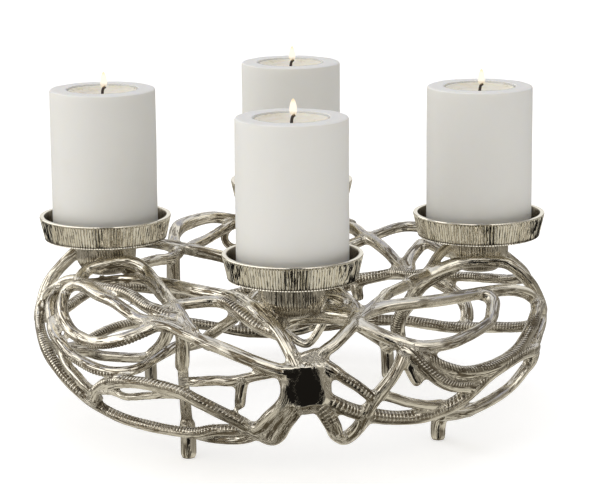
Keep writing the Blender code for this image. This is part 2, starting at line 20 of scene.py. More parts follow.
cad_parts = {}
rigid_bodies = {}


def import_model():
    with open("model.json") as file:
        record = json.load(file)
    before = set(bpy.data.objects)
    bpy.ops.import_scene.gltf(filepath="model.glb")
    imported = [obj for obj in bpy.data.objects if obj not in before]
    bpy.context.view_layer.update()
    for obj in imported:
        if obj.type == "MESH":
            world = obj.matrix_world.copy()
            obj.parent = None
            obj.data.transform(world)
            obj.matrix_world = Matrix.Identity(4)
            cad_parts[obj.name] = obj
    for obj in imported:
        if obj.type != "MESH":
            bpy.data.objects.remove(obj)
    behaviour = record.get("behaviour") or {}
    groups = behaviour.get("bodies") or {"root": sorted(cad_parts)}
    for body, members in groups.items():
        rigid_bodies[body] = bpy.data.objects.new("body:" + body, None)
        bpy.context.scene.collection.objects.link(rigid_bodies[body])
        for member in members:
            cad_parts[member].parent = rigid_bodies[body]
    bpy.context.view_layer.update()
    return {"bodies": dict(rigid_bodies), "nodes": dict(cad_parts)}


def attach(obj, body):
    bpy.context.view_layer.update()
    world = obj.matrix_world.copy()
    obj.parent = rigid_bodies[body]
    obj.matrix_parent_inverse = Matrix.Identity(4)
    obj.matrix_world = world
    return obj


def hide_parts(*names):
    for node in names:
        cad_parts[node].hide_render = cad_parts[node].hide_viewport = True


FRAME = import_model()
LOG = logging.getLogger("candle_ring")

Colour = tuple[float, float, float]
Profile = Sequence[tuple[float, float]]
Point = tuple[float, float, float]

# Sizes shared by several pieces, in metres
RIM_HEIGHT = 0.157
CANDLE_CIRCLE = 0.1425
CAGE_MIDDLE = 0.072
GAP = 0.0003
DISH_HEIGHT = 0.018
DISH_FLOOR = 0.0045
CANDLE_HEIGHT = 0.110
CUP_RADIUS = 0.027
CUP_HEIGHT = 0.0217
CUP_WALL = 0.0008
WAX_BELOW_RIM = 0.0035
CANDLE_TOP = RIM_HEIGHT - DISH_HEIGHT + DISH_FLOOR + GAP + CANDLE_HEIGHT
WAX_LEVEL = CANDLE_TOP - WAX_BELOW_RIM


class Place(Enum):
    """Where a candle stands: its azimuth in degrees, 270 being the front."""

    FRONT = 270
    LEFT = 180
    RIGHT = 0
    BACK = 90

    @property
    def label(self) -> str:
        """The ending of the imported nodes' names at this place."""
        return self.name.lower()

    def frame(self, height: float = 0.0) -> Matrix:
        """Gives the frame of this place.

        Args:
            height: Height of its origin above the ground.

        Returns:
            A matrix with its origin on the candle circle and x pointing out of the ring.
        """
        azimuth = math.radians(self.value)
        middle = Vector((CANDLE_CIRCLE * math.cos(azimuth), CANDLE_CIRCLE * math.sin(azimuth),
                         height))
        return Matrix.Translation(middle) @ Matrix.Rotation(azimuth, 4, "Z")


# Every twig's width in mm and its route: azimuth in degrees (0 is right, 270 the front),
# distance from the middle of the ring in mm and height above the ground in mm
TWIGS = {
    # Left half of the front
    "left_shoulder": (9, [(181, 158, 133), (180, 170, 124), (179, 187, 104), (181, 194, 83),
        (183, 194, 75)]),
    "left_flank": (8, [(193, 160, 115), (187, 172, 110), (184, 182, 102), (181, 189, 93),
        (182, 193, 84), (186, 194, 78), (193, 194, 74), (199, 194, 67), (204, 192, 59),
        (209, 189, 51), (213, 182, 41), (217, 174, 33), (223, 168, 28), (231, 164, 26),
        (240, 163, 26), (246, 166, 28), (251, 171, 33), (257, 172, 35), (263, 176, 39)]),
    "left_inner_flank": (7.5, [(187, 180, 102), (191, 186, 95), (197, 188, 87), (204, 190, 77),
        (207.5, 191, 70), (210.5, 191, 63), (214, 190, 58), (217, 189, 53), (218, 184, 48)]),
    "left_arch": (9, [(194, 166, 112), (191, 161, 117), (190, 154, 121), (192, 134, 126),
        (195, 123, 126), (199, 116, 121), (206, 116, 118), (216, 122, 117), (227, 137, 118),
        (235, 152, 117), (241, 165, 113), (245, 175, 108), (248, 180, 104)]),
    "left_cradle": (7, [(198, 162, 115), (193, 148, 112), (191, 135, 112), (195, 124, 113),
        (204, 119, 115), (216, 125, 116), (227, 140, 117), (234, 152, 117)]),
    "left_ribbed_bow": (9, [(196, 165, 114), (204, 159, 115), (211.5, 155, 117), (218, 153, 117),
        (224.5, 156, 115), (229, 159, 113), (234, 164, 113), (238, 166, 112), (242, 168, 112)]),
    "left_loop_top": (8.5, [(239, 176, 108), (232, 175, 108), (226, 170, 110), (218.5, 166, 113),
        (210.5, 166, 114), (203.5, 166, 115), (197, 169, 113), (194.5, 174, 109),
        (194.5, 177, 104), (198, 181, 100), (202.5, 184, 95), (209, 186, 89), (214, 186, 87),
        (221, 188, 88), (229.5, 188, 95), (237, 178, 106)]),
    "left_lower_bow": (7.5, [(199, 190, 91), (204, 193, 84), (213, 194, 76), (221, 194, 72),
        (226, 193, 71), (230, 190, 72), (232.5, 181, 74), (231.5, 155, 77), (231.5, 136, 80),
        (234, 131, 80), (240.5, 133, 86), (246, 140, 96), (255, 152, 112)]),
    "left_eye_top": (8.5, [(215, 181, 38), (218, 183, 45), (221, 186, 53), (225, 189, 60),
        (231, 194, 66), (235.5, 194, 68), (240, 194, 68), (246, 193, 65), (249, 193, 61),
        (255, 189, 51), (258, 185, 45), (260, 179, 39)]),
    "left_eye_thread": (5, [(222, 187, 52), (227, 189, 55), (231, 189, 54), (236, 188, 57),
        (242, 190, 61), (248, 191, 62)]),
    "left_eye_web": (11, [(214, 183, 45), (216.5, 181, 42), (217.5, 177, 38)]),
    "left_underbow": (7, [(241, 162, 27), (248, 161, 24), (256, 163, 25), (261, 168, 31),
        (264, 175, 39)]),
    "main_left": (9, [(236, 177, 107), (241, 177, 107), (244, 179, 105), (250.5, 183, 100),
        (254, 186, 98), (261, 190, 91), (267, 192, 85), (271, 191, 84)]),
    "arm_left": (10, [(272, 188, 77), (270.5, 189, 89), (267, 177, 107), (261, 156, 117),
        (256, 137, 118), (250, 120, 117), (243, 111, 116), (232, 107, 115), (220, 104, 114),
        (209, 103, 112), (198, 109, 111), (191, 118, 114), (185, 130, 118)]),
    "arm_left_low": (8, [(267.5, 178, 106), (264.5, 173, 107), (261, 167, 110), (254, 150, 117),
        (250, 140, 118), (245, 138, 118), (238, 156, 117), (236, 164, 114)]),
    "inner_left_rail": (6, [(241, 134, 87), (237, 116, 78), (232, 100, 73), (224, 91, 72),
        (212, 90, 72), (201, 91, 75), (192, 94, 84), (186, 103, 97), (182, 117, 109),
        (181, 128, 118)]),
    "leg_left": (8.5, [(237, 141, 14), (236.5, 142, 39), (236.5, 144, 59), (238, 150, 79),
        (240.5, 160, 95), (242, 170, 105)]),
    "leg_left_foot": (12, [(237, 141, 0), (237, 141, 14), (237, 142, 27)]),
    "left_leg_head": (10.5, [(236.5, 146, 67), (238, 150, 79), (240.5, 160, 95), (242, 170, 105)]),
    "twig_left": (7, [(236.5, 144, 57), (241, 160, 63), (247, 177, 69), (252, 180, 72),
        (257, 184, 74), (262, 187, 79), (268, 188, 83)]),
    "twig_left_stub": (8.5, [(259, 185, 75), (258.5, 185, 65), (258, 182, 54)]),
    "loop_knot_left": (9, [(266.5, 187, 87), (268, 190, 79), (268.5, 192, 71), (268, 192, 63),
        (266.5, 190, 56), (264.5, 187, 49), (262.5, 182, 41), (260, 179, 37)]),
    "lobe_left": (9, [(258, 178, 40), (260.5, 172, 35), (262.5, 167, 30), (264.5, 165, 27),
        (266.5, 168, 31), (268.5, 180, 44), (270.5, 186, 54), (272, 189, 63)]),
    "lobe_web_left": (9, [(269, 189, 60), (267, 187, 51), (265, 179, 40), (263.5, 169, 30)]),
    # The thick front knot and the twigs that go right of it
    "knot": (26, [(272, 185, 96), (273.5, 187, 83), (274, 187, 63), (274.5, 185, 54)]),
    "arm_right": (9, [(275, 188, 85), (276.5, 188, 96), (279, 185, 101), (284, 172, 110),
        (286, 165, 113)]),
    "arm_right_up": (8, [(286, 166, 113), (287, 158, 116), (287, 148, 118), (284, 136, 125),
        (281, 135, 129), (276, 138, 131)]),
    "right_rise": (8, [(284, 169, 112), (288, 163, 115), (292, 154, 118), (297, 141, 119),
        (303, 126, 118), (313, 115, 117), (325, 108, 116), (335, 105, 115), (341, 108, 115)]),
    "right_loop_top": (8.5, [(286, 164, 114), (294, 157, 117), (305, 158, 117),
        (311.5, 159, 116), (323, 163, 115), (334, 168, 112), (341, 175, 108), (346, 182, 102),
        (351, 188, 91), (354, 190, 82)]),
    "right_loop_low": (9, [(325, 165, 114), (327, 169, 113), (327, 174, 109), (324.5, 178, 105),
        (321, 183, 100), (316, 187, 98), (310.5, 188, 95), (305.5, 189, 93), (298, 189, 94),
        (292.5, 185, 100), (288.5, 179, 106), (285, 169, 111)]),
    "right_arch": (9, [(318, 112, 117), (326, 108, 117), (333, 106, 116), (340, 107, 115),
        (343, 113, 118), (347, 122, 121), (349, 133, 123), (351, 155, 123), (351.5, 167, 120),
        (353, 182, 105), (355, 190, 87), (355, 190, 80), (352, 190, 75), (345.5, 189, 70),
        (339.5, 189, 65), (338, 188, 56)]),
    "right_neck_web": (8, [(326, 107, 116), (336, 104, 114), (346, 107, 118), (352, 112, 126),
        (356, 120, 131.5), (358, 130, 133.5)]),
    "right_outer_low": (8.5, [(340, 192, 66), (339, 190, 57), (337.5, 186, 51), (335.5, 181, 43),
        (333, 177, 38), (327.5, 174, 35), (321.5, 172, 33), (315.5, 173, 33), (310, 174, 35),
        (305.5, 178, 38)]),
    "right_ribbed_rim": (9.5, [(340, 192, 67), (335, 194, 69), (328.5, 194, 71),
        (322.5, 194, 69), (317, 191, 63), (312, 191, 56), (308, 188, 48), (304.5, 183, 43),
        (299.5, 181, 41), (293.5, 180, 42), (288, 182, 46), (283.5, 185, 51), (280, 189, 57),
        (277, 190, 63)]),
    "right_fork_low": (9, [(293, 188, 95), (295, 191, 91), (297, 192, 84), (299.5, 194, 76),
        (302, 194, 69), (305.5, 194, 63), (310, 193, 60), (313, 190, 59)]),
    "right_fork_high": (8.5, [(294, 187, 94), (299, 191, 87), (302, 193, 80), (306, 194, 74),
        (310, 194, 71), (315, 194, 70), (320, 194, 71), (326, 194, 74), (331, 193, 79),
        (337, 192, 86), (344, 190, 92), (351, 190, 92)]),
    "right_stub": (9, [(295, 187, 94), (295, 189, 85), (296, 190, 76), (297.5, 191, 67)]),
    "right_tail": (7, [(287, 190, 65), (291.5, 190, 60), (295, 188, 55), (301, 184, 49),
        (306, 183, 47)]),
    "knot_right": (8.5, [(275.5, 189, 89), (278, 191, 85), (280.5, 192, 78), (283.5, 193, 71),
        (286.5, 192, 62)]),
    "right_cross": (9, [(294.5, 186, 95), (293.5, 190, 89), (292, 192, 81), (290.5, 192, 74),
        (288.5, 192, 67), (287, 190, 59), (285.5, 185, 48), (285, 174, 36), (283, 164, 26)]),
    "right_lobe": (8, [(274, 189, 61), (276, 188, 52), (278, 180, 41), (279.5, 172, 32),
        (282.5, 164, 25), (284.5, 165, 28), (285.5, 174, 37), (286.5, 182, 46)]),
    "lobe_web_right": (10, [(275, 190, 62), (277, 188, 54), (278.5, 182, 44), (280, 174, 34)]),
    "leg_right": (12, [(324, 133, 0), (324, 133, 12), (323, 140, 21), (319, 169, 32)]),
    "front_web": (14, [(286, 158, 112), (281, 146, 112), (273, 139, 111), (267, 147, 110),
        (266, 160, 110)]),
    "front_web_right": (12, [(276.5, 140, 120), (281.5, 141, 120), (285, 148, 117)]),
    # Left half of the back
    "back_left_arch": (10, [(142, 118, 111), (137, 130, 117), (129, 150, 119), (124, 157, 122),
        (115, 157, 125), (104, 156, 120), (98, 155, 122), (92, 152, 124)]),
    "back_left_fork": (8, [(136, 113, 111), (134, 117, 113), (125, 122, 115), (117, 131, 118),
        (109, 150, 119), (104, 160, 117)]),
    "back_left_rail": (9, [(173, 146, 127), (165, 152, 122), (156, 156, 119), (152, 152, 117),
        (146, 140, 118), (138, 117, 113), (123, 104, 104), (114, 100, 99), (106, 104, 103),
        (98, 118, 111), (93, 128, 115)]),
    "back_left_rail_low": (8, [(180, 122, 114), (170, 119, 113), (160, 114, 112), (151, 112, 110),
        (141, 114, 111)]),
    "back_left_post": (10, [(146, 114, 114), (147.5, 112, 105), (148.5, 111, 87),
        (149.5, 111, 69), (149.5, 115, 51), (148, 124, 37), (147, 137, 25)]),
    "back_left_mid": (8, [(93, 188, 69), (98, 190, 57), (104, 191, 51), (110, 190, 49),
        (117, 191, 52), (124, 192, 59), (132, 192, 66), (140, 192, 71), (147, 192, 73),
        (153, 192, 71), (159, 192, 68), (166, 192, 67), (174, 192, 71), (181, 192, 77)]),
    "back_left_bottom": (8, [(84, 162, 27), (90, 160, 23), (97, 160, 22), (105, 162, 24),
        (113, 168, 29), (121, 174, 34), (130, 179, 38), (141, 183, 40), (150, 184, 38),
        (157, 184, 36), (167, 183, 41), (178, 184, 51), (188, 189, 60), (196, 192, 69)]),
    "back_left_low": (8, [(176, 184, 47), (169, 181, 41), (162, 173, 35), (159, 163, 30),
        (151, 144, 25), (147, 138, 25)]),
    "leg_back_left": (10, [(147, 137, 0), (147, 137, 13), (147, 138, 26)]),
    # Right half of the back
    "back_right_rail": (9, [(92, 128, 117), (86, 140, 120), (80, 142, 119), (69, 134, 119),
        (62, 122, 116), (55, 117, 113), (46, 109, 109), (34, 102, 103), (24, 100, 100),
        (14, 97, 95), (4, 94, 89)]),
    "back_right_fork": (8, [(84, 133, 121), (77, 119, 112), (70, 110, 107), (66, 110, 109),
        (58, 126, 116), (55, 150, 119), (50, 158, 120), (42, 158, 118), (32, 156, 119),
        (20, 152, 122), (10, 148, 125), (5, 146, 128)]),
    "back_right_v": (9.5, [(24, 101, 101), (30, 107, 108), (35, 128, 118)]),
    "back_right_w": (8, [(35, 129, 118), (18, 127, 117), (10, 128, 120), (5, 134, 124)]),
    "back_right_ribbed": (9, [(88, 130, 118), (86, 116, 104), (80, 103, 87), (72, 99, 76),
        (64, 95, 79), (54, 92, 86), (37, 97, 95), (28, 98, 98), (15, 101, 101), (8, 108, 105),
        (2, 118, 111), (1, 128, 118)]),
    "back_right_stub": (9, [(57, 93, 85), (55.5, 91, 79), (54.5, 92, 69)]),
    "inner_right_sweep": (11, [(357, 128, 118), (358, 104, 104), (4, 96, 93), (11, 92, 81),
        (20, 91, 69), (27, 93, 57), (33, 100, 46), (42, 112, 35), (52, 124, 27)]),
    "back_right_inner_low": (8, [(78, 127, 52), (72, 128, 46), (67, 122, 42), (60, 118, 37),
        (52, 124, 27)]),
    "leg_back_right": (11, [(51.5, 124, 0), (51.5, 124, 13), (52, 124, 27)]),
    "back_inner_loop": (7, [(92, 137, 114), (97, 134, 95), (101, 131, 69), (99, 128, 43),
        (95, 120, 36), (87, 118, 24), (83, 118, 25), (78, 121, 41), (77, 125, 51), (79, 136, 59),
        (84, 155, 65), (88, 176, 69), (90, 184, 69)]),
    "back_right_low": (8.5, [(96, 178, 41), (90, 168, 31), (82, 164, 27), (74, 166, 30),
        (66, 170, 33), (58, 173, 35), (50, 174, 35), (42, 176, 36), (34, 180, 40), (26, 184, 45),
        (20, 195, 49), (15, 201, 56), (12, 197, 65), (9, 193, 75), (5, 190, 85), (0, 189, 86),
        (355, 189, 84)]),
    "back_right_drop": (10, [(60, 190, 71), (53, 193, 68), (48, 192, 64), (43, 190, 58),
        (40, 187, 50), (38, 181, 41)]),
    "back_right_mid": (8, [(93, 188, 67), (86, 190, 61), (79, 191, 61), (72, 192, 64),
        (66, 193, 67), (59, 193, 69), (51, 193, 72), (42, 193, 76), (33, 193, 80), (24, 192, 85),
        (15, 190, 93), (8, 182, 103), (4, 170, 115), (1, 152, 130)]),
    # The thick back knot and its arms
    "back_knot": (26, [(91.5, 188, 91), (92.5, 189, 81), (93.5, 189, 62), (94, 187, 54)]),
    "back_arm_left": (9, [(93, 188, 85), (96, 186, 98), (100, 177, 109), (105, 166, 116),
        (111, 157, 121)]),
    "back_arm_right": (9, [(91, 188, 85), (88, 187, 97), (83, 179, 107), (78, 167, 115),
        (73, 152, 119), (69, 140, 119)]),
    "back_lobe_left": (8, [(94, 188, 62), (98, 186, 51), (102, 180, 41), (105, 163, 25)]),
    "back_lobe_right": (8, [(93, 188, 61), (91, 187, 51), (87, 181, 41), (82, 172, 33),
        (76, 167, 30)]),
    "back_left_hook": (6, [(107, 152, 120), (110, 150, 117), (112, 149, 111), (111.5, 148, 104),
        (109, 146, 100), (106, 146, 102)]),
}


class Signal:
    """A shader value. Expressions on it add Math nodes to its sheet."""

    def __init__(self, sheet: NodeSheet, socket: bpy.types.NodeSocket) -> None:
        """Wraps an output socket of a sheet's node."""
        self.sheet = sheet
        self.socket = socket

    def math(self, operation: str, *values: Signal | float) -> Signal:
        """Adds one Math node.

        Args:
            operation: Blender's name of the operation.
            values: Its inputs, in order.

        Returns:
            The node's result.
        """
        made = self.sheet.node("ShaderNodeMath", {"operation": operation},
                               dict(enumerate(values)))
        return Signal(self.sheet, made.outputs[0])

    def __add__(self, other: Signal | float) -> Signal:
        """Sum."""
        return self.math("ADD", self, other)

    def __sub__(self, other: Signal | float) -> Signal:
        """Difference."""
        return self.math("SUBTRACT", self, other)

    def __rsub__(self, other: float) -> Signal:
        """Difference from a number."""
        return self.math("SUBTRACT", other, self)

    def __mul__(self, other: Signal | float) -> Signal:
        """Product."""
        return self.math("MULTIPLY", self, other)

    def __truediv__(self, other: Signal | float) -> Signal:
        """Quotient."""
        return self.math("DIVIDE", self, other)

    def __abs__(self) -> Signal:
        """Size without its sign."""
        return self.math("ABSOLUTE", self)

    __radd__ = __add__
    __rmul__ = __mul__

    def step(self, low: float, high: float) -> Signal:
        """Rises smoothly from 0 to 1, or falls where low is the larger.

        Args:
            low: Where it is 0.
            high: Where it is 1.

        Returns:
            The share.
        """
        made = self.sheet.node("ShaderNodeMapRange", {"interpolation_type": "SMOOTHSTEP"},
                               {"Value": self, "From Min": low, "From Max": high})
        return Signal(self.sheet, made.outputs["Result"])


class NodeSheet:
    """The node tree of a material or of the world."""

    def __init__(self, owner: bpy.types.Material | bpy.types.World) -> None:
        """Starts from the owner's default nodes."""
        owner.use_nodes = True
        self.tree = owner.node_tree

    def node(self, kind: str, settings: dict | None = None,
             inputs: dict | None = None) -> bpy.types.Node:
        """Adds one node.

        Args:
            kind: Blender's name of the node's type.
            settings: Its properties, set before its sockets.
            inputs: A value, Signal or socket for each named or numbered input.

        Returns:
            The node.
        """
        made = self.tree.nodes.new(kind)
        for name, value in (settings or {}).items():
            setattr(made, name, value)
        for name, value in (inputs or {}).items():
            self.feed(made.inputs[name], value)
        return made

    def feed(self, socket: bpy.types.NodeSocket,
             value: Signal | bpy.types.NodeSocket | float | Sequence[float]) -> None:
        """Links a socket to a signal or sets it to a constant.

        Args:
            socket: The input.
            value: A signal or output to link, or the constant. A colour may leave out its alpha.
        """
        if isinstance(value, Signal):
            self.tree.links.new(value.socket, socket)
        elif isinstance(value, bpy.types.NodeSocket):
            self.tree.links.new(value, socket)
        else:
            if not isinstance(value, (int, float)) and socket.type == "RGBA" and len(value) == 3:
                value = (*value, 1.0)
            socket.default_value = value

    def position(self) -> bpy.types.NodeSocket:
        """The place on the object, in metres."""
        return self.node("ShaderNodeTexCoord").outputs["Object"]

    def stretched(self, vector: bpy.types.NodeSocket, scale: Point) -> bpy.types.NodeSocket:
        """Scales a vector along its three axes."""
        made = self.node("ShaderNodeVectorMath", {"operation": "MULTIPLY"}, {0: vector, 1: scale})
        return made.outputs[0]

    def grain(self, vector: bpy.types.NodeSocket, scale: float, detail: float = 2.0,
              roughness: float = 0.5) -> Signal:
        """Noise at a vector.

        Args:
            vector: Where it is read.
            scale: Its cells per unit of the vector.
            detail: How many finer layers it has.
            roughness: Their strength.

        Returns:
            A value around 0.5.
        """
        made = self.node("ShaderNodeTexNoise", {}, {"Vector": vector, "Scale": scale,
                                                    "Detail": detail, "Roughness": roughness})
        return Signal(self, made.outputs[0])

    def blend(self, low: Colour | bpy.types.NodeSocket, high: Colour | bpy.types.NodeSocket,
              share: Signal) -> bpy.types.NodeSocket:
        """Mixes two colours.

        Args:
            low: The colour at a share of 0.
            high: The colour at a share of 1.
            share: How much of the second is taken.

        Returns:
            The mixed colour.
        """
        made = self.node("ShaderNodeMix", {"data_type": "RGBA"}, {"Factor": share})
        self.feed(made.inputs[6], low)
        self.feed(made.inputs[7], high)
        return made.outputs[2]

    def parts(self, vector: bpy.types.NodeSocket) -> tuple[Signal, ...]:
        """Splits a vector into its x, y and z."""
        made = self.node("ShaderNodeSeparateXYZ", {}, {0: vector})
        return tuple(Signal(self, made.outputs[axis]) for axis in "XYZ")

    def attribute(self, name: str) -> bpy.types.Node:
        """Reads one of the piece's own attributes."""
        return self.node("ShaderNodeAttribute", {"attribute_name": name})

    def mask(self, name: str) -> Signal:
        """Reads one of the piece's own attributes that holds a share from 0 to 1."""
        return Signal(self, self.attribute(name).outputs["Fac"])

    def bump(self, height: Signal, depth: float, strength: float = 1.0) -> bpy.types.NodeSocket:
        """Tilts the surface by a height.

        Args:
            height: From 0 to 1.
            depth: What 1 is worth, in metres.
            strength: Share of the effect.

        Returns:
            The tilted normal.
        """
        made = self.node("ShaderNodeBump", {}, {"Height": height, "Distance": depth,
                                                "Strength": strength})
        return made.outputs[0]


@dataclass(frozen=True)
class Finish:
    """A material with constants for its even properties."""

    name: str
    constants: tuple[tuple[str, float | tuple[float, ...]], ...] = ()

    def make(self) -> bpy.types.Material:
        """Makes the material, or gives back the one already made.

        Returns:
            The Blender material.
        """
        ready = bpy.data.materials.get(self.name)
        if ready:
            return ready
        material = bpy.data.materials.new(self.name)
        sheet = NodeSheet(material)
        shader = sheet.tree.nodes["Principled BSDF"]
        for socket, value in self.constants:
            sheet.feed(shader.inputs[socket], value)
        self.paint(sheet, shader)
        return material

    def paint(self, sheet: NodeSheet, shader: bpy.types.Node) -> None:
        """Feeds what changes over the surface. Each finish has its own."""


@dataclass(frozen=True)
class BarkNickel(Finish):
    """Nickel plating on a casting with bark grooves that follow each twig, with painted shade in its
    grooves and hollows.
    """

    crest: Colour = (0.84, 0.80, 0.71)
    # Painted shade: the dark colour given to the grooves and hollows
    groove: Colour = (0.20, 0.165, 0.115)
    depth: float = 0.0011
    groove_cells: Point = (460.0, 460.0, 30.0)
    streak_cells: Point = (1500.0, 1500.0, 110.0)
    cluster_cells: Point = (120.0, 120.0, 40.0)
    pit_cells: float = 520.0
    narrowness: float = 12.0
    relief_share: float = 0.60

    def paint(self, sheet: NodeSheet, shader: bpy.types.Node) -> None:
        """Thin grooves along the twig, in clusters, with finer streaks and small pits; grooves and
        sunk places are painted dark as shade, and raised places lighter.

        Args:
            sheet: The material's nodes.
            shader: The node that is fed.
        """
        bark = sheet.attribute("bark").outputs["Vector"]
        relief = sheet.mask("relief")
        coarse = 1.0 - sheet.mask("polish")
        wide = sheet.grain(sheet.stretched(bark, self.groove_cells), 1.0)
        fine = sheet.grain(sheet.stretched(bark, self.streak_cells), 1.0, 1.0)
        pits = sheet.grain(sheet.position(), self.pit_cells, 2.0, 0.6)
        cluster = sheet.grain(sheet.stretched(bark, self.cluster_cells), 1.0, 1.0)
        cut = (1.0 - abs(wide - 0.5) * self.narrowness).step(0.20, 0.80)
        cut = cut * (cluster.step(0.38, 0.56) * 0.70 + 0.10)
        height = 0.75 - (cut - (fine - 0.5) * 0.16 - (pits - 0.5) * 0.07) * coarse
        height = height + (fine - 0.5) * 0.05
        # Painted shade and light: a low relief darkens hollows and the surface between ridges, a high
        # one lightens raised places
        crest = (height + (relief - 0.5) * self.relief_share).step(0.26, 0.74)
        sheet.feed(shader.inputs["Base Color"], sheet.blend(self.groove, self.crest, crest))
        sheet.feed(shader.inputs["Roughness"], 0.20 - crest * 0.10)
        sheet.feed(shader.inputs["Normal"], sheet.bump(height, self.depth, 0.7))


@dataclass(frozen=True)
class DishNickel(Finish):
    """Nickel plating of the dishes: bright lip, brushed wall, and painted shade inside and on the rib
    flanks.
    """

    bright: Colour = (0.86, 0.83, 0.75)
    # Dark colour: painted shade inside the dish and on the rib flanks, and dull patches in the cloud
    dull: Colour = (0.17, 0.14, 0.095)
    scratch_cells: Point = (1500.0, 1500.0, 110.0)
    cloud_cells: float = 60.0
    scratch_depth: float = 0.00006

    def paint(self, sheet: NodeSheet, shader: bpy.types.Node) -> None:
        """Fine upright scratches, with painted shade and tarnish on the rib flanks and painted shade
        inside the dish.

        Args:
            sheet: The material's nodes.
            shader: The node that is fed.
        """
        relief = sheet.mask("relief")
        place = sheet.position()
        scratch = sheet.grain(sheet.stretched(place, self.scratch_cells), 1.0, 3.0, 0.6)
        cloud = sheet.grain(place, self.cloud_cells, 3.0)
        share = (relief * 0.95 + (scratch - 0.5) * 0.18 + (cloud - 0.5) * 0.2).step(0.25, 0.70)
        sheet.feed(shader.inputs["Base Color"], sheet.blend(self.dull, self.bright, share))
        sheet.feed(shader.inputs["Roughness"], 0.22 - share * 0.11)
        sheet.feed(shader.inputs["Normal"], sheet.bump(scratch, self.scratch_depth, 0.3))


@dataclass(frozen=True)
class CandleWax(Finish):
    """White wax of the candles' shells, with faint clouds and a satin skin."""

    white: Colour = (0.70, 0.695, 0.67)
    warm: Colour = (0.66, 0.65, 0.61)
    # Painted light: whitens the top and the wall of the well, which lies in shade
    frosted: Colour = (0.82, 0.82, 0.82)
    cloud_cells: float = 28.0
    ring_cells: Point = (14.0, 14.0, 420.0)
    scuff_cells: Point = (130.0, 130.0, 60.0)
    skin_depth: float = 0.00016

    def paint(self, sheet: NodeSheet, shader: bpy.types.Node) -> None:
        """Clouds in the wax, scuffs in its gloss, faint casting rings, and painted light that whitens
        the top and the well's wall.

        Args:
            sheet: The material's nodes.
            shader: The node that is fed.
        """
        place = sheet.position()
        cloud = sheet.grain(place, self.cloud_cells, 4.0, 0.55)
        rings = sheet.grain(sheet.stretched(place, self.ring_cells), 1.0)
        scuff = sheet.grain(sheet.stretched(place, self.scuff_cells), 1.0, 4.0, 0.6)
        height = sheet.parts(place)[2]
        tone = (cloud * 0.8 + height.step(0.13, 0.20) * 0.25).step(0.20, 0.62)
        side = sheet.blend(self.warm, self.white, tone)
        # Painted light on the top rim and on the well's wall
        well = sheet.mask("well")
        top = (height.step(CANDLE_TOP - 0.0012, CANDLE_TOP - 0.0002) + well).step(0.0, 1.0)
        sheet.feed(shader.inputs["Base Color"], sheet.blend(side, self.frosted, top))
        sheet.feed(shader.inputs["Roughness"], 0.42 + scuff * 0.16)
        skin = rings * 0.5 + scuff * 0.5
        sheet.feed(shader.inputs["Normal"], sheet.bump(skin, self.skin_depth, 0.35))


@dataclass(frozen=True)
class PoolWax(Finish):
    """Cream wax in a candle's cup: clearer round the wick, frosted at the edge."""

    clear: Colour = (0.78, 0.72, 0.58)
    frosted: Colour = (0.83, 0.80, 0.73)
    cloud_cells: float = 95.0
    fleck_cells: float = 520.0
    fleck_depth: float = 0.00012

    def paint(self, sheet: NodeSheet, shader: bpy.types.Node) -> None:
        """Frosting in flecks over clouds.

        Args:
            sheet: The material's nodes.
            shader: The node that is fed.
        """
        place = sheet.position()
        cloud = sheet.grain(place, self.cloud_cells, 4.0, 0.6)
        fleck = sheet.grain(place, self.fleck_cells, 3.0, 0.6)
        share = (cloud * 0.8 + fleck * 0.35).step(0.35, 0.75)
        sheet.feed(shader.inputs["Base Color"], sheet.blend(self.clear, self.frosted, share))
        sheet.feed(shader.inputs["Roughness"], 0.22 + share * 0.25)
        sheet.feed(shader.inputs["Normal"], sheet.bump(fleck, self.fleck_depth, 0.5))


@dataclass(frozen=True)
class ClearCup(Finish):
    """Clear moulded plastic of the cups, a little smoky with faint flow lines."""

    tint: Colour = (0.95, 0.95, 0.93)
    smoke: Colour = (0.80, 0.80, 0.78)
    flow_cells: Point = (40.0, 40.0, 700.0)

    def paint(self, sheet: NodeSheet, shader: bpy.types.Node) -> None:
        """Flow lines round the wall.

        Args:
            sheet: The material's nodes.
            shader: The node that is fed.
        """
        flow = sheet.grain(sheet.stretched(sheet.position(), self.flow_cells), 1.0)
        sheet.feed(shader.inputs["Base Color"],
                   sheet.blend(self.smoke, self.tint, flow.step(0.3, 0.7)))
        sheet.feed(shader.inputs["Roughness"], 0.06 + flow * 0.08)
        sheet.feed(shader.inputs["Alpha"], 0.14 + flow * 0.12)


@dataclass(frozen=True)
class BurntCotton(Finish):
    """Burnt braid of the wicks: black, grey with ash at the crossings."""

    char: Colour = (0.012, 0.010, 0.009)
    ash: Colour = (0.035, 0.030, 0.026)
    braid_cells: float = 2300.0
    dust_cells: float = 3200.0
    braid_depth: float = 0.00025

    def paint(self, sheet: NodeSheet, shader: bpy.types.Node) -> None:
        """Braid cells with ash on their crests.

        Args:
            sheet: The material's nodes.
            shader: The node that is fed.
        """
        cells = sheet.node("ShaderNodeTexVoronoi", {},
                           {"Vector": sheet.position(), "Scale": self.braid_cells})
        weave = Signal(sheet, cells.outputs[0])
        dust = sheet.grain(sheet.position(), self.dust_cells)
        sheet.feed(shader.inputs["Base Color"],
                   sheet.blend(self.char, self.ash, (dust - weave * 0.4).step(0.30, 0.65)))
        sheet.feed(shader.inputs["Roughness"], 0.80 + dust * 0.15)
        sheet.feed(shader.inputs["Normal"], sheet.bump(1.0 - weave, self.braid_depth, 0.9))


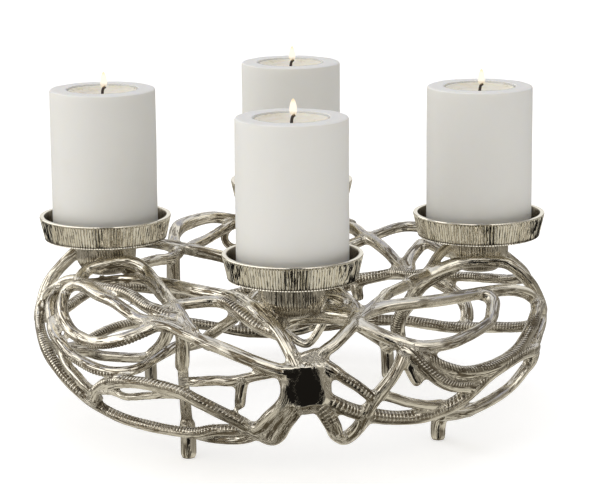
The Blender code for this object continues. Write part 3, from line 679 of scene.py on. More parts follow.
@dataclass(frozen=True)
class ScrewSteel(Finish):
    """Turned steel of the screws under the candles."""

    steel: Colour = (0.56, 0.56, 0.57)
    oil: Colour = (0.33, 0.31, 0.28)
    mark_cells: Point = (90.0, 90.0, 3800.0)
    film_cells: float = 240.0
    mark_depth: float = 0.00006

    def paint(self, sheet: NodeSheet, shader: bpy.types.Node) -> None:
        """Turning marks and a film of oil.

        Args:
            sheet: The material's nodes.
            shader: The node that is fed.
        """
        place = sheet.position()
        marks = sheet.grain(sheet.stretched(place, self.mark_cells), 1.0)
        film = sheet.grain(place, self.film_cells, 3.0)
        sheet.feed(shader.inputs["Base Color"],
                   sheet.blend(self.oil, self.steel, film.step(0.35, 0.55)))
        sheet.feed(shader.inputs["Roughness"], 0.24 + marks * 0.2)
        sheet.feed(shader.inputs["Normal"], sheet.bump(marks, self.mark_depth, 0.6))


@dataclass(frozen=True)
class FlameGlow(Finish):
    """Glow of a candle's flame: amber at its foot, white in its heart."""

    foot: float = WAX_LEVEL + 0.0042
    height: float = 0.0122
    radius: float = 0.0027
    low: Colour = (1.0, 0.74, 0.42)
    heart: Colour = (1.0, 0.93, 0.80)
    tip: Colour = (1.0, 0.80, 0.48)
    soot: Colour = (0.04, 0.03, 0.02)
    flicker_cells: float = 260.0

    def paint(self, sheet: NodeSheet, shader: bpy.types.Node) -> None:
        """Colours by height above the wick.

        Args:
            sheet: The material's nodes.
            shader: The node that is fed.
        """
        rise = (sheet.parts(sheet.position())[2] - self.foot) / self.height
        flicker = sheet.grain(sheet.position(), self.flicker_cells)
        body = sheet.blend(self.low, self.heart, (rise + (flicker - 0.5) * 0.1).step(0.02, 0.32))
        sheet.feed(shader.inputs["Emission Color"],
                   sheet.blend(body, self.tip, rise.step(0.72, 1.0)))
        sheet.feed(shader.inputs["Base Color"], self.soot)
        sheet.feed(shader.inputs["Alpha"], rise.step(-0.02, 0.45) * 0.90 + 0.10)


@dataclass(frozen=True)
class StudioPaper(Finish):
    """Pale paper that the ring stands on."""

    shade: Colour = (0.80, 0.80, 0.80)
    light: Colour = (0.82, 0.82, 0.815)
    fibre_cells: float = 160.0

    def paint(self, sheet: NodeSheet, shader: bpy.types.Node) -> None:
        """A hardly visible fibre."""
        fibre = sheet.grain(sheet.position(), self.fibre_cells, 4.0)
        sheet.feed(shader.inputs["Base Color"], sheet.blend(self.shade, self.light, fibre))


BARK = BarkNickel("bark_nickel", (("Metallic", 1.0),))
DISH_METAL = DishNickel("dish_nickel", (("Metallic", 1.0),))
SHELL_WAX = CandleWax("candle_wax", (("Subsurface Weight", 0.35), ("Subsurface Scale", 0.006),
                                     ("Subsurface Radius", (1.0, 0.85, 0.6))))
# The pool's faint emission is a painted glow that stands in for the flame's light on the wax
POOL_WAX = PoolWax("pool_wax", (("Subsurface Weight", 0.5), ("Subsurface Scale", 0.004),
                                ("Subsurface Radius", (1.0, 0.75, 0.4)),
                                ("Emission Color", (1.0, 0.90, 0.72)),
                                ("Emission Strength", 0.03)))
CUP_PLASTIC = ClearCup("cup_plastic", (("IOR", 1.46),))
WICK_COTTON = BurntCotton("wick_cotton")
STEEL = ScrewSteel("screw_steel", (("Metallic", 1.0),))
GLOW = FlameGlow("flame_glow", (("Emission Strength", 1.06), ("Roughness", 0.9)))
PAPER = StudioPaper("studio_paper", (("Roughness", 0.95), ("Specular IOR Level", 0.1),
                                     ("Emission Color", (1.0, 1.0, 1.0)),
                                     ("Emission Strength", 0.50)))


def new_object(name: str, bm: bmesh.types.BMesh, finish: Finish) -> bpy.types.Object:
    """Turns a bmesh into a smooth-shaded object.

    Args:
        name: The object's name.
        bm: The mesh under construction, which is freed.
        finish: What covers it.

    Returns:
        The object, linked to the scene.
    """
    bmesh.ops.recalc_face_normals(bm, faces=bm.faces)
    mesh = bpy.data.meshes.new(name)
    bm.to_mesh(mesh)
    bm.free()
    mesh.polygons.foreach_set("use_smooth", [True] * len(mesh.polygons))
    mesh.materials.append(finish.make())
    thing = bpy.data.objects.new(name, mesh)
    bpy.context.scene.collection.objects.link(thing)
    return thing


def place_piece(thing: bpy.types.Object, slot: str, *nodes: str) -> bpy.types.Object:
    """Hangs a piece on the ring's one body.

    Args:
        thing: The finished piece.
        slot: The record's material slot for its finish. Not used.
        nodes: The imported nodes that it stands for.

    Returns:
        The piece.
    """
    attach(thing, "root")
    if nodes:
        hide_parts(*nodes)
    faces = sum(len(face.vertices) - 2 for face in thing.data.polygons)
    LOG.info("%s: %d triangles", thing.name, faces)
    return thing


def drawn_on(bm: bmesh.types.BMesh, cap: bmesh.types.BMFace, is_base: bool
             ) -> tuple[bmesh.types.BMFace, list[bmesh.types.BMVert]]:
    """Draws a bar one step further from its end face. The new end starts where the old one was.

    Args:
        bm: The mesh it is part of.
        cap: Its end face.
        is_base: True where that face is also its other end and stays.

    Returns:
        The new end face and its vertices.
    """
    step = bmesh.ops.extrude_face_region(bm, geom=[cap])["geom"]
    if not is_base:
        bmesh.ops.delete(bm, geom=[cap], context="FACES_ONLY")
    face = next(item for item in step if isinstance(item, bmesh.types.BMFace))
    return face, [item for item in step if isinstance(item, bmesh.types.BMVert)]


def swept(bm: bmesh.types.BMesh, seats: Sequence[Matrix], radius: float, sides: int) -> None:
    """Adds a round bar of one thickness.

    Args:
        bm: The mesh it is added to.
        seats: The frames that it passes, with z along it.
        radius: Half its thickness.
        sides: Corners of its section.
    """
    made = bmesh.ops.create_circle(bm, cap_ends=True, segments=sides, radius=radius,
                                   matrix=seats[0])["verts"]
    cap = made[0].link_faces[0]
    for number, (before, after) in enumerate(zip(seats, seats[1:])):
        cap, verts = drawn_on(bm, cap, number == 0)
        bmesh.ops.transform(bm, matrix=after @ before.inverted(), verts=verts)


def turned(bm: bmesh.types.BMesh, profile: Profile, sides: int,
           matrix: Matrix | None = None) -> list[bmesh.types.BMVert]:
    """Adds a closed round solid by drawing a disc through a profile.

    Args:
        bm: The mesh it is added to.
        profile: Radius and height of each step.
        sides: Steps round the axis.
        matrix: Where its axis stands.

    Returns:
        Its vertices.
    """
    matrix = matrix or Matrix()
    inverse = matrix.inverted()
    radius, height = profile[0]
    made = bmesh.ops.create_circle(bm, cap_ends=True, segments=sides, radius=radius,
                                   matrix=matrix @ Matrix.Translation((0, 0, height)))["verts"]
    everything = list(made)
    cap = made[0].link_faces[0]
    for (radius_before, height_before), (radius, height) in zip(profile, profile[1:]):
        cap, verts = drawn_on(bm, cap, len(everything) == sides)
        bmesh.ops.scale(bm, vec=(radius / radius_before, radius / radius_before, 1.0),
                        space=inverse, verts=verts)
        bmesh.ops.translate(bm, vec=(0, 0, height - height_before), space=inverse, verts=verts)
        everything += verts
    return everything


def rounded(start: tuple[float, float], corner: tuple[float, float], end: tuple[float, float],
            steps: int = 3) -> list[tuple[float, float]]:
    """Points of a rounded corner of a profile.

    Args:
        start: Where the rounding leaves the first side.
        corner: The sharp corner.
        end: Where it meets the second side.
        steps: Number of spans.

    Returns:
        Radius and height of each point, ends included.
    """
    points = []
    for index in range(steps + 1):
        t = index / steps
        weights = ((1 - t) ** 2, 2 * t * (1 - t), t * t)
        points.append(tuple(sum(w * p[axis] for w, p in zip(weights, (start, corner, end)))
                            for axis in (0, 1)))
    return points


def append(bm: bmesh.types.BMesh, part: bmesh.types.BMesh) -> None:
    """Adds a part's faces to a mesh under construction.

    Args:
        bm: The mesh it is added to.
        part: The part, which is freed.
    """
    holder = bpy.data.meshes.new("holder")
    part.to_mesh(holder)
    part.free()
    bm.from_mesh(holder)
    bpy.data.meshes.remove(holder)


def coordinates(mesh: bpy.types.Mesh) -> np.ndarray:
    """Reads where a mesh's vertices are.

    Args:
        mesh: The mesh.

    Returns:
        Their places, one a row.
    """
    flat = np.empty(len(mesh.vertices) * 3, np.float32)
    mesh.vertices.foreach_get("co", flat)
    return flat.reshape(-1, 3).astype(float)


def store(mesh: bpy.types.Mesh, name: str, kind: str, values: np.ndarray) -> None:
    """Keeps one value per vertex for a finish to read.

    Args:
        mesh: The piece's mesh.
        name: The attribute's name.
        kind: FLOAT or FLOAT_VECTOR.
        values: The values, in the order of the vertices.
    """
    kept = mesh.attributes.new(name, kind, "POINT")
    kept.data.foreach_set("vector" if kind == "FLOAT_VECTOR" else "value",
                          values.astype(np.float32).ravel())


def shaped(thing: bpy.types.Object, steps: Iterable[tuple[str, dict]]) -> None:
    """Runs modifiers on an object and keeps what they make.

    Args:
        thing: The object, whose mesh is replaced.
        steps: Each modifier's type and settings, in order.
    """
    for kind, settings in steps:
        modifier = thing.modifiers.new(kind.lower(), kind)
        for name, value in settings.items():
            setattr(modifier, name, value)
    bpy.context.view_layer.update()
    evaluated = thing.evaluated_get(bpy.context.evaluated_depsgraph_get())
    mesh = bpy.data.meshes.new_from_object(evaluated)
    thing.modifiers.clear()
    old, name = thing.data, thing.data.name
    thing.data = mesh
    bpy.data.meshes.remove(old)
    mesh.name = name


@dataclass
class Twig:
    """One twig of the casting: a rounded bar along a curved route."""

    name: str
    width: float
    route: Sequence[Point]
    step: float = 0.0024
    knot_thickness: float = 0.014
    knot_width: float = 0.02
    untwist: float = 0.12
    sway: float = 0.10
    sway_length: float = 0.022
    end_length: float = 0.0035
    foot_depth: float = 0.004
    foot_overlap: float = 0.0012
    frames: list[Matrix] = field(default_factory=list)
    run: list[float] = field(default_factory=list)

    def __post_init__(self) -> None:
        """Lays the frames along the route: z along the twig, x out of the cage."""
        curve = self.curve()
        total = 0.0
        out: Vector | None = None
        last = None
        for point, along in curve:
            if last is not None:
                total += (point - last).length
            last = point
            azimuth = math.atan2(point.y, point.x)
            core = Vector((CANDLE_CIRCLE * math.cos(azimuth), CANDLE_CIRCLE * math.sin(azimuth),
                           CAGE_MIDDLE))
            wish = (point - core).normalized()
            if self.is_knot:
                wish = Vector((point.x, point.y, 0)).normalized()
            if out is not None:
                wish = wish * self.untwist + out
            out = (wish - along * wish.dot(along)).normalized()
            turned_frame = Matrix((out, along.cross(out), along)).transposed().to_4x4()
            self.frames.append(Matrix.Translation(point) @ turned_frame)
            self.run.append(total)

    @property
    def is_knot(self) -> bool:
        """True for the two thick knots, which are flatter than they are wide."""
        return self.width > self.knot_width

    @property
    def is_foot(self) -> bool:
        """True for the twigs that stand on the ground."""
        return self.route[0][2] == 0

    @property
    def squareness(self) -> float:
        """Exponent of the section's outline: 2 is round, a larger one squarer."""
        is_round = "leg" in self.name or "stub" in self.name
        return 5.0 if self.is_knot else 2.0 if is_round else 2.9

    def curve(self) -> list[tuple[Vector, Vector]]:
        """Follows the route smoothly.

        Returns:
            Evenly spaced points and directions of a Catmull-Rom curve through the route.
        """
        places = [Vector((distance * math.cos(math.radians(azimuth)),
                          distance * math.sin(math.radians(azimuth)), height)) / 1000
                  for azimuth, distance, height in self.route]
        if self.is_foot:
            places[0].z -= self.foot_depth
        places = [2 * places[0] - places[1], *places, 2 * places[-1] - places[-2]]
        found: list[tuple[Vector, Vector]] = []
        for a, b, c, d in zip(places, places[1:], places[2:], places[3:]):
            slope, bend, twist = c - a, 2 * a - 5 * b + 4 * c - d, 3 * b - a - 3 * c + d
            last = c is places[-2]
            spans = max(2, round((c - b).length / self.step))
            for index in range(spans + last):
                t = index / spans
                found.append((b + (slope * t + bend * t ** 2 + twist * t ** 3) / 2,
                              (slope + 2 * bend * t + 3 * twist * t ** 2).normalized()))
        return found

    def radius(self, index: int) -> float:
        """Half width at one frame: uneven, as hand-modelled wax is, and rounded at the ends.

        Args:
            index: Which frame.

        Returns:
            The half width, in metres.
        """
        seed = sum(map(ord, self.name)) * 0.37
        sway = noise.noise(Vector((self.run[index] / self.sway_length, seed, 0.5)))
        ends = min(self.run[index], self.run[-1] - self.run[index]) / self.end_length
        if self.is_foot:
            ends = (self.frames[index].translation.z + self.foot_overlap) / self.foot_depth
        blunt = math.sqrt(1.0 - 0.55 * (1.0 - min(1.0, max(0.0, ends))) ** 2)
        return self.width / 2 * (1 + self.sway * sway) * blunt

    def sweep(self, swell: float, sides: int = 16) -> bmesh.types.BMesh:
        """Draws the twig out as a closed bar.

        Args:
            swell: How much thicker than its width it is made on each side.
            sides: Corners of its section.

        Returns:
            Its mesh.
        """
        bm = bmesh.new()
        section = self.section(0, swell, sides)
        made = bmesh.ops.create_circle(bm, cap_ends=True, segments=sides, radius=1.0)["verts"]
        for vert, place in zip(made, section):
            vert.co = self.frames[0] @ place
        cap = made[0].link_faces[0]
        order = made
        for index in range(1, len(self.frames)):
            cap, fresh = drawn_on(bm, cap, index == 1)
            order = [next(edge.other_vert(vert) for edge in vert.link_edges
                          if edge.other_vert(vert) in fresh) for vert in order]
            for vert, place in zip(order, self.section(index, swell, sides)):
                vert.co = self.frames[index] @ place
        return bm

    def section(self, index: int, swell: float, sides: int) -> list[Vector]:
        """Outline of the section at one frame, in that frame.

        Args:
            index: Which frame.
            swell: What is added to its half width.
            sides: How many corners.

        Returns:
            The corners in order.
        """
        across = self.radius(index) + swell
        flat = self.knot_thickness / 2 + swell if self.is_knot else across
        power = 2 / self.squareness
        corners = []
        for corner in range(sides):
            angle = math.tau * corner / sides
            c, s = math.cos(angle), math.sin(angle)
            corners.append(Vector((flat * math.copysign(abs(c) ** power, c),
                                   across * math.copysign(abs(s) ** power, s), 0)))
        return corners

    @property
    def is_smooth(self) -> bool:
        """True for the legs and for the twigs on the right, but not for their rough fork."""
        return self.name.startswith(("right", "leg")) and not self.name.startswith("right_fork")

    def index_at(self, along: float) -> int:
        """The frame nearest to a place given by its run along the twig."""
        return min(range(len(self.run)), key=lambda index: abs(self.run[index] - along))

    def reach(self, index: int, angle: float) -> float:
        """How far the surface is from the middle of the twig.

        Args:
            index: Which frame.
            angle: Direction in that frame, in radians.

        Returns:
            The distance.
        """
        power = self.squareness
        outline = abs(math.cos(angle)) ** power + abs(math.sin(angle)) ** power
        return self.radius(index) * outline ** (-1 / power)

    def depth(self, index: int, local: Vector) -> float:
        """Roughly how far a place is outside the twig; negative inside it.

        Args:
            index: The frame nearest to it.
            local: The place in that frame.

        Returns:
            The distance, in metres.
        """
        if self.is_knot:
            return max(abs(local.x) - self.knot_thickness / 2, abs(local.y) - self.width / 2,
                       abs(local.z) - 1.5 * self.step)
        return math.sqrt(local.x ** 2 + local.y ** 2 + local.z ** 2) - self.width / 2


@dataclass(frozen=True)
class RibBand:
    """A run of short ridges across a twig, as a rasp leaves on bark."""

    twig: str
    start: float
    end: float
    facing: Point
    pitch: float = 0.0027
    spread: float = 116.0
    thickness: float = 0.00078
    slant: float = 0.0006
    unevenness: float = 0.22
    edge_on: float = 0.25

    def direction(self, twig: Twig, index: int) -> float | None:
        """Which way the ridges face.

        Args:
            twig: The twig that they lie on.
            index: One of its frames.

        Returns:
            The angle in that frame, or None where the twig itself runs that way.
        """
        turn = twig.frames[index].to_3x3()
        wish = turn.inverted() @ Vector(self.facing).normalized()
        return None if math.hypot(wish.x, wish.y) < self.edge_on else math.atan2(wish.y, wish.x)

    def covers(self, twig: Twig, index: int, place: Vector) -> bool:
        """True where the ridges lie.

        Args:
            twig: The twig nearest to the place.
            index: Its frame nearest to the place.
            place: The place in that frame.

        Returns:
            Whether a ridge of the band may pass there.
        """
        share = twig.run[index] / twig.run[-1]
        if twig.name != self.twig or not self.start <= share <= self.end:
            return False
        facing = self.direction(twig, index)
        if facing is None:
            return False
        turn = (math.atan2(place.y, place.x) - facing + math.pi) % math.tau - math.pi
        return abs(turn) < math.radians(self.spread) * COVER_SHARE


KNOT_FACE = Twig("knot_face", 0.0300, [(271.6, 188.5, 88), (272.0, 189, 81), (272.4, 189.3, 74),
                                       (273.0, 189, 67), (273.5, 188.5, 59)], step=0.0012)
# Share of a band's spread that lies on each side of its middle, with a little over
COVER_SHARE = 0.52
# Twig, start and end as shares of its run, way it faces, pitch, spread in degrees, thickness
# and slant
RIB_BANDS = (
    RibBand("left_flank", 0.22, 0.62, (0.15, -0.93, 0.30), 0.0028, 134.0, 0.00112),
    RibBand("left_flank", 0.62, 0.98, (0.0, -0.70, 0.70), 0.0028),
    RibBand("left_eye_top", 0.04, 0.95, (0.0, -0.60, 0.80), 0.0028, 124.0, 0.00085, -0.0030),
    RibBand("left_ribbed_bow", 0.0, 0.95, (0.0, -0.85, 0.50), 0.0029),
    RibBand("left_lower_bow", 0.02, 0.45, (0.0, -0.65, -0.70), 0.0028),
    RibBand("left_loop_top", 0.62, 0.97, (0.0, -0.65, -0.70), 0.0028),
    RibBand("right_ribbed_rim", 0.06, 0.58, (-0.1, -0.74, 0.66), 0.0030, 140.0, 0.00112, -0.0060),
    RibBand("right_ribbed_rim", 0.58, 1.0, (-0.10, -0.80, 0.55), 0.0030, 140.0, 0.00085),
    RibBand("right_fork_high", 0.10, 0.80, (0.05, -0.80, 0.60), 0.0027, 84.0, 0.00066, 0.0040),
    RibBand("right_fork_low", 0.15, 0.90, (0.05, -0.80, 0.60), 0.0026, 76.0, 0.00068, -0.0036),
    RibBand("lobe_web_right", 0.02, 0.55, (0.10, -0.98, 0.10), 0.0031, 140.0, 0.00085),
    RibBand("right_lobe", 0.10, 0.34, (0.25, -0.95, 0.15), 0.0031),
    RibBand("knot_right", 0.30, 0.92, (-0.30, -0.80, 0.45), 0.0029, 80.0),
    RibBand("right_arch", 0.74, 0.98, (-0.55, -0.80, 0.20), 0.0031),
    RibBand("arm_left_low", 0.05, 0.60, (0.0, -0.60, 0.75), 0.0029),
    RibBand("back_right_ribbed", 0.10, 0.95, (0.0, -0.85, 0.45), 0.0029),
    RibBand("back_right_mid", 0.05, 0.80, (0.0, -0.85, 0.50), 0.0028),
    RibBand("back_right_low", 0.28, 0.76, (0.0, -0.85, 0.45), 0.0029),
    RibBand("inner_right_sweep", 0.30, 0.90, (-0.5, -0.85, 0.10), 0.0030),
    RibBand("back_left_bottom", 0.10, 0.90, (0.0, -0.70, 0.65), 0.0029),
    RibBand("back_left_mid", 0.10, 0.90, (0.0, -0.85, 0.45), 0.0030),
)
# How polished the smoother twigs and the necks are, from 0 to 1
SMOOTH_TWIGS = 0.55
SMOOTH_NECKS = 0.75
# Keeps the grain of one twig from running on in the next, in metres
GRAIN_SHIFT = 0.31


@dataclass
class RingCasting:
    """The ring: twigs, knots, legs and dish necks cast in one piece."""

    twigs: list[Twig]
    bands: Sequence[RibBand] = RIB_BANDS
    swell: float = 0.0009
    voxel: float = 0.0013
    faces_kept: float = 0.28
    bark_depth: float = 0.00020
    neck_radius: float = 0.0225
    neck_length: float = 0.027
    neck_ribs: int = 66
    columns_per_rib: int = 4
    rib_depth: float = 0.0008
    ridge_sides: int = 5
    ridge_seats: int = 5
    knot_front: float = -0.18
    knot_border: float = 0.0012
    near_frames: int = 6
    ribbed_above: float = 0.0004
    # Height given to the surface between a band's ridges, which the finish paints as shade
    ribbed_relief: float = -0.0009
    relief_span: float = 0.0012
    groove_cell: Point = (0.0024, 0.0024, 0.019)
    fine_groove_cell: Point = (0.0013, 0.0013, 0.008)
    neck_shape: Profile = ((0.45, 1.0), (0.64, 0.965), (0.78, 0.88), (0.89, 0.78), (0.96, 0.66),
                           (0.99, 0.52), (1.0, 0.4), (1.0, 0.2))

    def neck_profile(self, inset: float = 0.0) -> list[tuple[float, float]]:
        """Profile of the neck under a dish.

        Args:
            inset: How much smaller than the neck it is.

        Returns:
            Radius and height of each step, from below.
        """
        top = RIM_HEIGHT - DISH_HEIGHT - GAP - inset
        radius = self.neck_radius - inset
        return [*((radius * share, top - self.neck_length * drop)
                  for share, drop in self.neck_shape),
                (radius, top - 0.0008), (radius - 0.0006, top)]

    def build(self) -> bpy.types.Object:
        """Models and dresses the casting.

        Returns:
            The finished ring.
        """
        core = self.core()
        self.carve(core.data)
        bm = bmesh.new()
        bm.from_mesh(core.data)
        bpy.data.objects.remove(core, do_unlink=True)
        self.stand_flat(bm)
        self.add_ridges(bm)
        for place in Place:
            append(bm, self.neck(place))
        ring = new_object("ring_casting", bm, BARK)
        self.mark_bark(ring.data)
        return place_piece(ring, "nickel", "branch_ring")

    def core(self) -> bpy.types.Object:
        """Fuses the twigs and necks, with fillets where they meet.

        Returns:
            The fused body.
        """
        bm = bmesh.new()
        for twig in self.twigs:
            append(bm, twig.sweep(self.swell))
        for place in Place:
            turned(bm, self.neck_profile(0.0008), 48, place.frame())
        core = new_object("ring_core", bm, BARK)
        shaped(core, [
            ("REMESH", {"mode": "VOXEL", "voxel_size": self.voxel, "use_smooth_shade": True}),
            ("SMOOTH", {"factor": 0.5, "iterations": 4}),
            ("DISPLACE", {"strength": -self.swell, "mid_level": 0.0, "direction": "NORMAL"}),
            ("SMOOTH", {"factor": 0.5, "iterations": 1}),
        ])
        places = coordinates(core.data)
        face = places[:, 1] < -(KNOT_FACE.route[0][1] / 1000 + 0.005)
        face &= abs(places[:, 2] - CAGE_MIDDLE) < 0.018
        thinned = core.vertex_groups.new(name="thinned")
        thinned.add(np.flatnonzero(~face).tolist(), 1.0, "REPLACE")
        shaped(core, [("DECIMATE", {"ratio": self.faces_kept, "use_collapse_triangulate": True,
                                    "vertex_group": thinned.name})])
        return core

    def survey(self, places: np.ndarray) -> tuple[np.ndarray, np.ndarray, np.ndarray]:
        """Finds the twig or neck that each place lies on.

        Args:
            places: One place a row.

        Returns:
            For each place, its offset in the twig's frame with the run along the twig; the height of
            the surface above the twig's own half width, set low between a band's ridges for painted
            shade; and how polished it is.
        """
        rows = [(twig, index) for twig in self.twigs for index in range(len(twig.frames))]
        tree = kdtree.KDTree(len(rows))
        for number, (twig, index) in enumerate(rows):
            tree.insert(twig.frames[index].translation, number)
        tree.balance()
        inverses = [twig.frames[index].inverted() for twig, index in rows]
        offsets = np.zeros((len(places), 3))
        above, polish = np.zeros(len(places)), np.zeros(len(places))
        shift = {twig.name: GRAIN_SHIFT * number for number, twig in enumerate(self.twigs)}
        ribbed = {band.twig for band in self.bands}
        necks = [place.frame().inverted() for place in Place]
        top = RIM_HEIGHT - DISH_HEIGHT + GAP
        for row, place in enumerate(places):
            point = Vector(place)
            near = [(hit[1], inverses[hit[1]] @ point)
                    for hit in tree.find_n(point, self.near_frames)]
            found, local = min(near, key=lambda it: rows[it[0]][0].depth(rows[it[0]][1], it[1]))
            twig, index = rows[found]
            offsets[row] = (local.x, local.y, twig.run[index] + local.z + shift[twig.name])
            polish[row] = SMOOTH_TWIGS if twig.is_smooth else 0.0
            if place[1] < self.knot_front:
                polish[row] = max(polish[row], self.on_knot(point))
            if not twig.is_knot:
                angle = math.atan2(local.y, local.x)
                above[row] = math.hypot(local.x, local.y) - twig.reach(index, angle)
                # Between the ridges of a band the surface is marked as sunk, so that it is painted as
                # shade
                if twig.name in ribbed and above[row] < self.ribbed_above and any(
                        band.covers(twig, index, local) for band in self.bands):
                    above[row] = self.ribbed_relief
            for number, inverse in enumerate(necks):
                turn = inverse @ point
                radius = math.hypot(turn.x, turn.y)
                if radius < self.neck_radius + 0.0006 and top - self.neck_length < turn.z < top:
                    angle = math.atan2(turn.y, turn.x)
                    offsets[row] = (angle * radius, radius + number, turn.z)
                    # Painted shade: the valleys of the neck's ribs are marked lower, so they are
                    # coloured darker
                    above[row] = (radius - self.neck_radius) * 0.8 + 0.0005
                    polish[row] = SMOOTH_NECKS
        return offsets, above, polish

    def on_knot(self, point: Vector) -> float:
        """How far a place is inside the border of the knot's polished face.

        Args:
            point: The place.

        Returns:
            From 0 outside to 1 inside, with an uneven border.
        """
        height = point.z - KNOT_FACE.frames[-1].translation.z
        top = KNOT_FACE.frames[0].translation.z - KNOT_FACE.frames[-1].translation.z
        if not 0 < height < top:
            return 0.0
        frame = min(KNOT_FACE.frames, key=lambda item: abs(item.translation.z - point.z))
        local = frame.inverted() @ point
        inset = min(KNOT_FACE.width / 2 - 0.0005 - abs(local.y), height + 0.001,
                    top + 0.001 - height, local.x - KNOT_FACE.knot_thickness / 2 + 0.0022)
        return min(1.0, max(0.0, inset / self.knot_border + 0.8 * noise.noise(point * 300)))

    def carve(self, mesh: bpy.types.Mesh) -> None:
        """Cuts wide bark grooves along every twig into the surface.

        Args:
            mesh: The fused casting.
        """
        places = coordinates(mesh)
        normals = np.empty(len(mesh.vertices) * 3, np.float32)
        mesh.vertices.foreach_get("normal", normals)
        offsets, _, polish = self.survey(places)
        wide, fine = offsets / self.groove_cell, offsets / self.fine_groove_cell + (0, 0, 7)
        depth = np.array([noise.noise(Vector(first)) + 0.5 * noise.noise(Vector(second))
                          for first, second in zip(wide, fine)])
        depth *= self.bark_depth * (1 - polish)
        places += normals.reshape(-1, 3) * depth[:, None]
        mesh.vertices.foreach_set("co", places.astype(np.float32).ravel())
        mesh.update()

    def stand_flat(self, bm: bmesh.types.BMesh) -> None:
        """Cuts the feet off level with the ground.

        Args:
            bm: The casting.
        """
        cut = bmesh.ops.bisect_plane(bm, geom=bm.verts[:] + bm.edges[:] + bm.faces[:],
                                     plane_co=(0, 0, 0), plane_no=(0, 0, -1), clear_outer=True)
        edges = [item for item in cut["geom_cut"] if isinstance(item, bmesh.types.BMEdge)]
        bmesh.ops.holes_fill(bm, edges=edges, sides=0)

    def add_ridges(self, bm: bmesh.types.BMesh) -> None:
        """Lays the ridges of every band across its twig.

        Args:
            bm: The casting, which they are added to.
        """
        by_name = {twig.name: twig for twig in self.twigs}
        for band in self.bands:
            twig = by_name[band.twig]
            ridges = bmesh.new()
            first, last = (share * twig.run[-1] for share in (band.start, band.end))
            at = first
            count = 0
            while at < last:
                self.ridge(ridges, twig, at, band, count)
                count += 1
                uneven = noise.noise(Vector((count * 0.7, first * 90, 3)))
                at += band.pitch * (1 + band.unevenness * uneven)
            append(bm, ridges)

    def ridge(self, bm: bmesh.types.BMesh, twig: Twig, at: float, band: RibBand,
              count: int) -> None:
        """Adds one ridge.

        Args:
            bm: The mesh it is added to.
            twig: The twig it lies on.
            at: How far along the twig it lies.
            band: The band it belongs to.
            count: Its number in the band, which varies it.
        """
        facing = band.direction(twig, twig.index_at(at))
        if facing is None:
            return
        uneven = noise.noise(Vector((count * 0.9, twig.run[-1] * 50, 1)))
        half = math.radians(band.spread) / 2 * (1 + 0.2 * uneven)
        size = band.thickness * (1 + 0.25 * uneven)
        slant = band.slant + 0.0004 * uneven
        seats = []
        ends = (0, self.ridge_seats - 1)
        for step in range(self.ridge_seats):
            side = step / ends[1] - 0.5
            angle = facing + 2 * half * side
            along = at + slant * side
            index = twig.index_at(along)
            out = Vector((math.cos(angle), math.sin(angle), 0))
            spot = out * (twig.reach(index, angle) - size * (1.0 if step in ends else 0.25))
            spot.z = along - twig.run[index]
            basis = Matrix((out, Vector((0, 0, 1)), Vector((out.y, -out.x, 0)))).transposed()
            seats.append(twig.frames[index] @ Matrix.Translation(spot) @ basis.to_4x4())
        swept(bm, seats, size, self.ridge_sides)

    def neck(self, place: Place) -> bmesh.types.BMesh:
        """Models the ribbed skin of one neck.

        Args:
            place: The candle that it stands under.

        Returns:
            Its mesh.
        """
        bm = bmesh.new()
        frame = place.frame()
        inverse = frame.inverted()
        profile = self.neck_profile()
        for vert in turned(bm, profile, self.neck_ribs * self.columns_per_rib, frame):
            local = inverse @ vert.co
            radius = math.hypot(local.x, local.y)
            angle = math.atan2(local.y, local.x)
            high = profile[-1][1] - 0.0005
            share = min(1.0, max(0.0, (local.z - profile[0][1] - 0.002) / 0.008))
            share *= min(1.0, max(0.0, (high - local.z) / 0.0012))
            wobble = noise.noise(Vector((angle * 9, place.value, local.z / 0.012)))
            wave = math.cos(self.neck_ribs * angle + 2.2 * wobble + 60 * local.z)
            wave = max(-1.0, min(1.0, 1.9 * wave - 0.9)) - 0.6 + 0.5 * wobble
            factor = 1 + share * self.rib_depth * wave / radius
            vert.co = frame @ Vector((local.x * factor, local.y * factor, local.z))
        return bm

    def mark_bark(self, mesh: bpy.types.Mesh) -> None:
        """Stores where each vertex lies on its twig, and how far it stands out of it, which the
        finish paints as shade in the hollows.

        Args:
            mesh: The finished casting.
        """
        places = coordinates(mesh)
        offsets, above, polish = self.survey(places)
        store(mesh, "bark", "FLOAT_VECTOR", offsets)
        store(mesh, "relief", "FLOAT", np.clip(0.5 + above / self.relief_span, 0, 1))
        store(mesh, "polish", "FLOAT", polish)


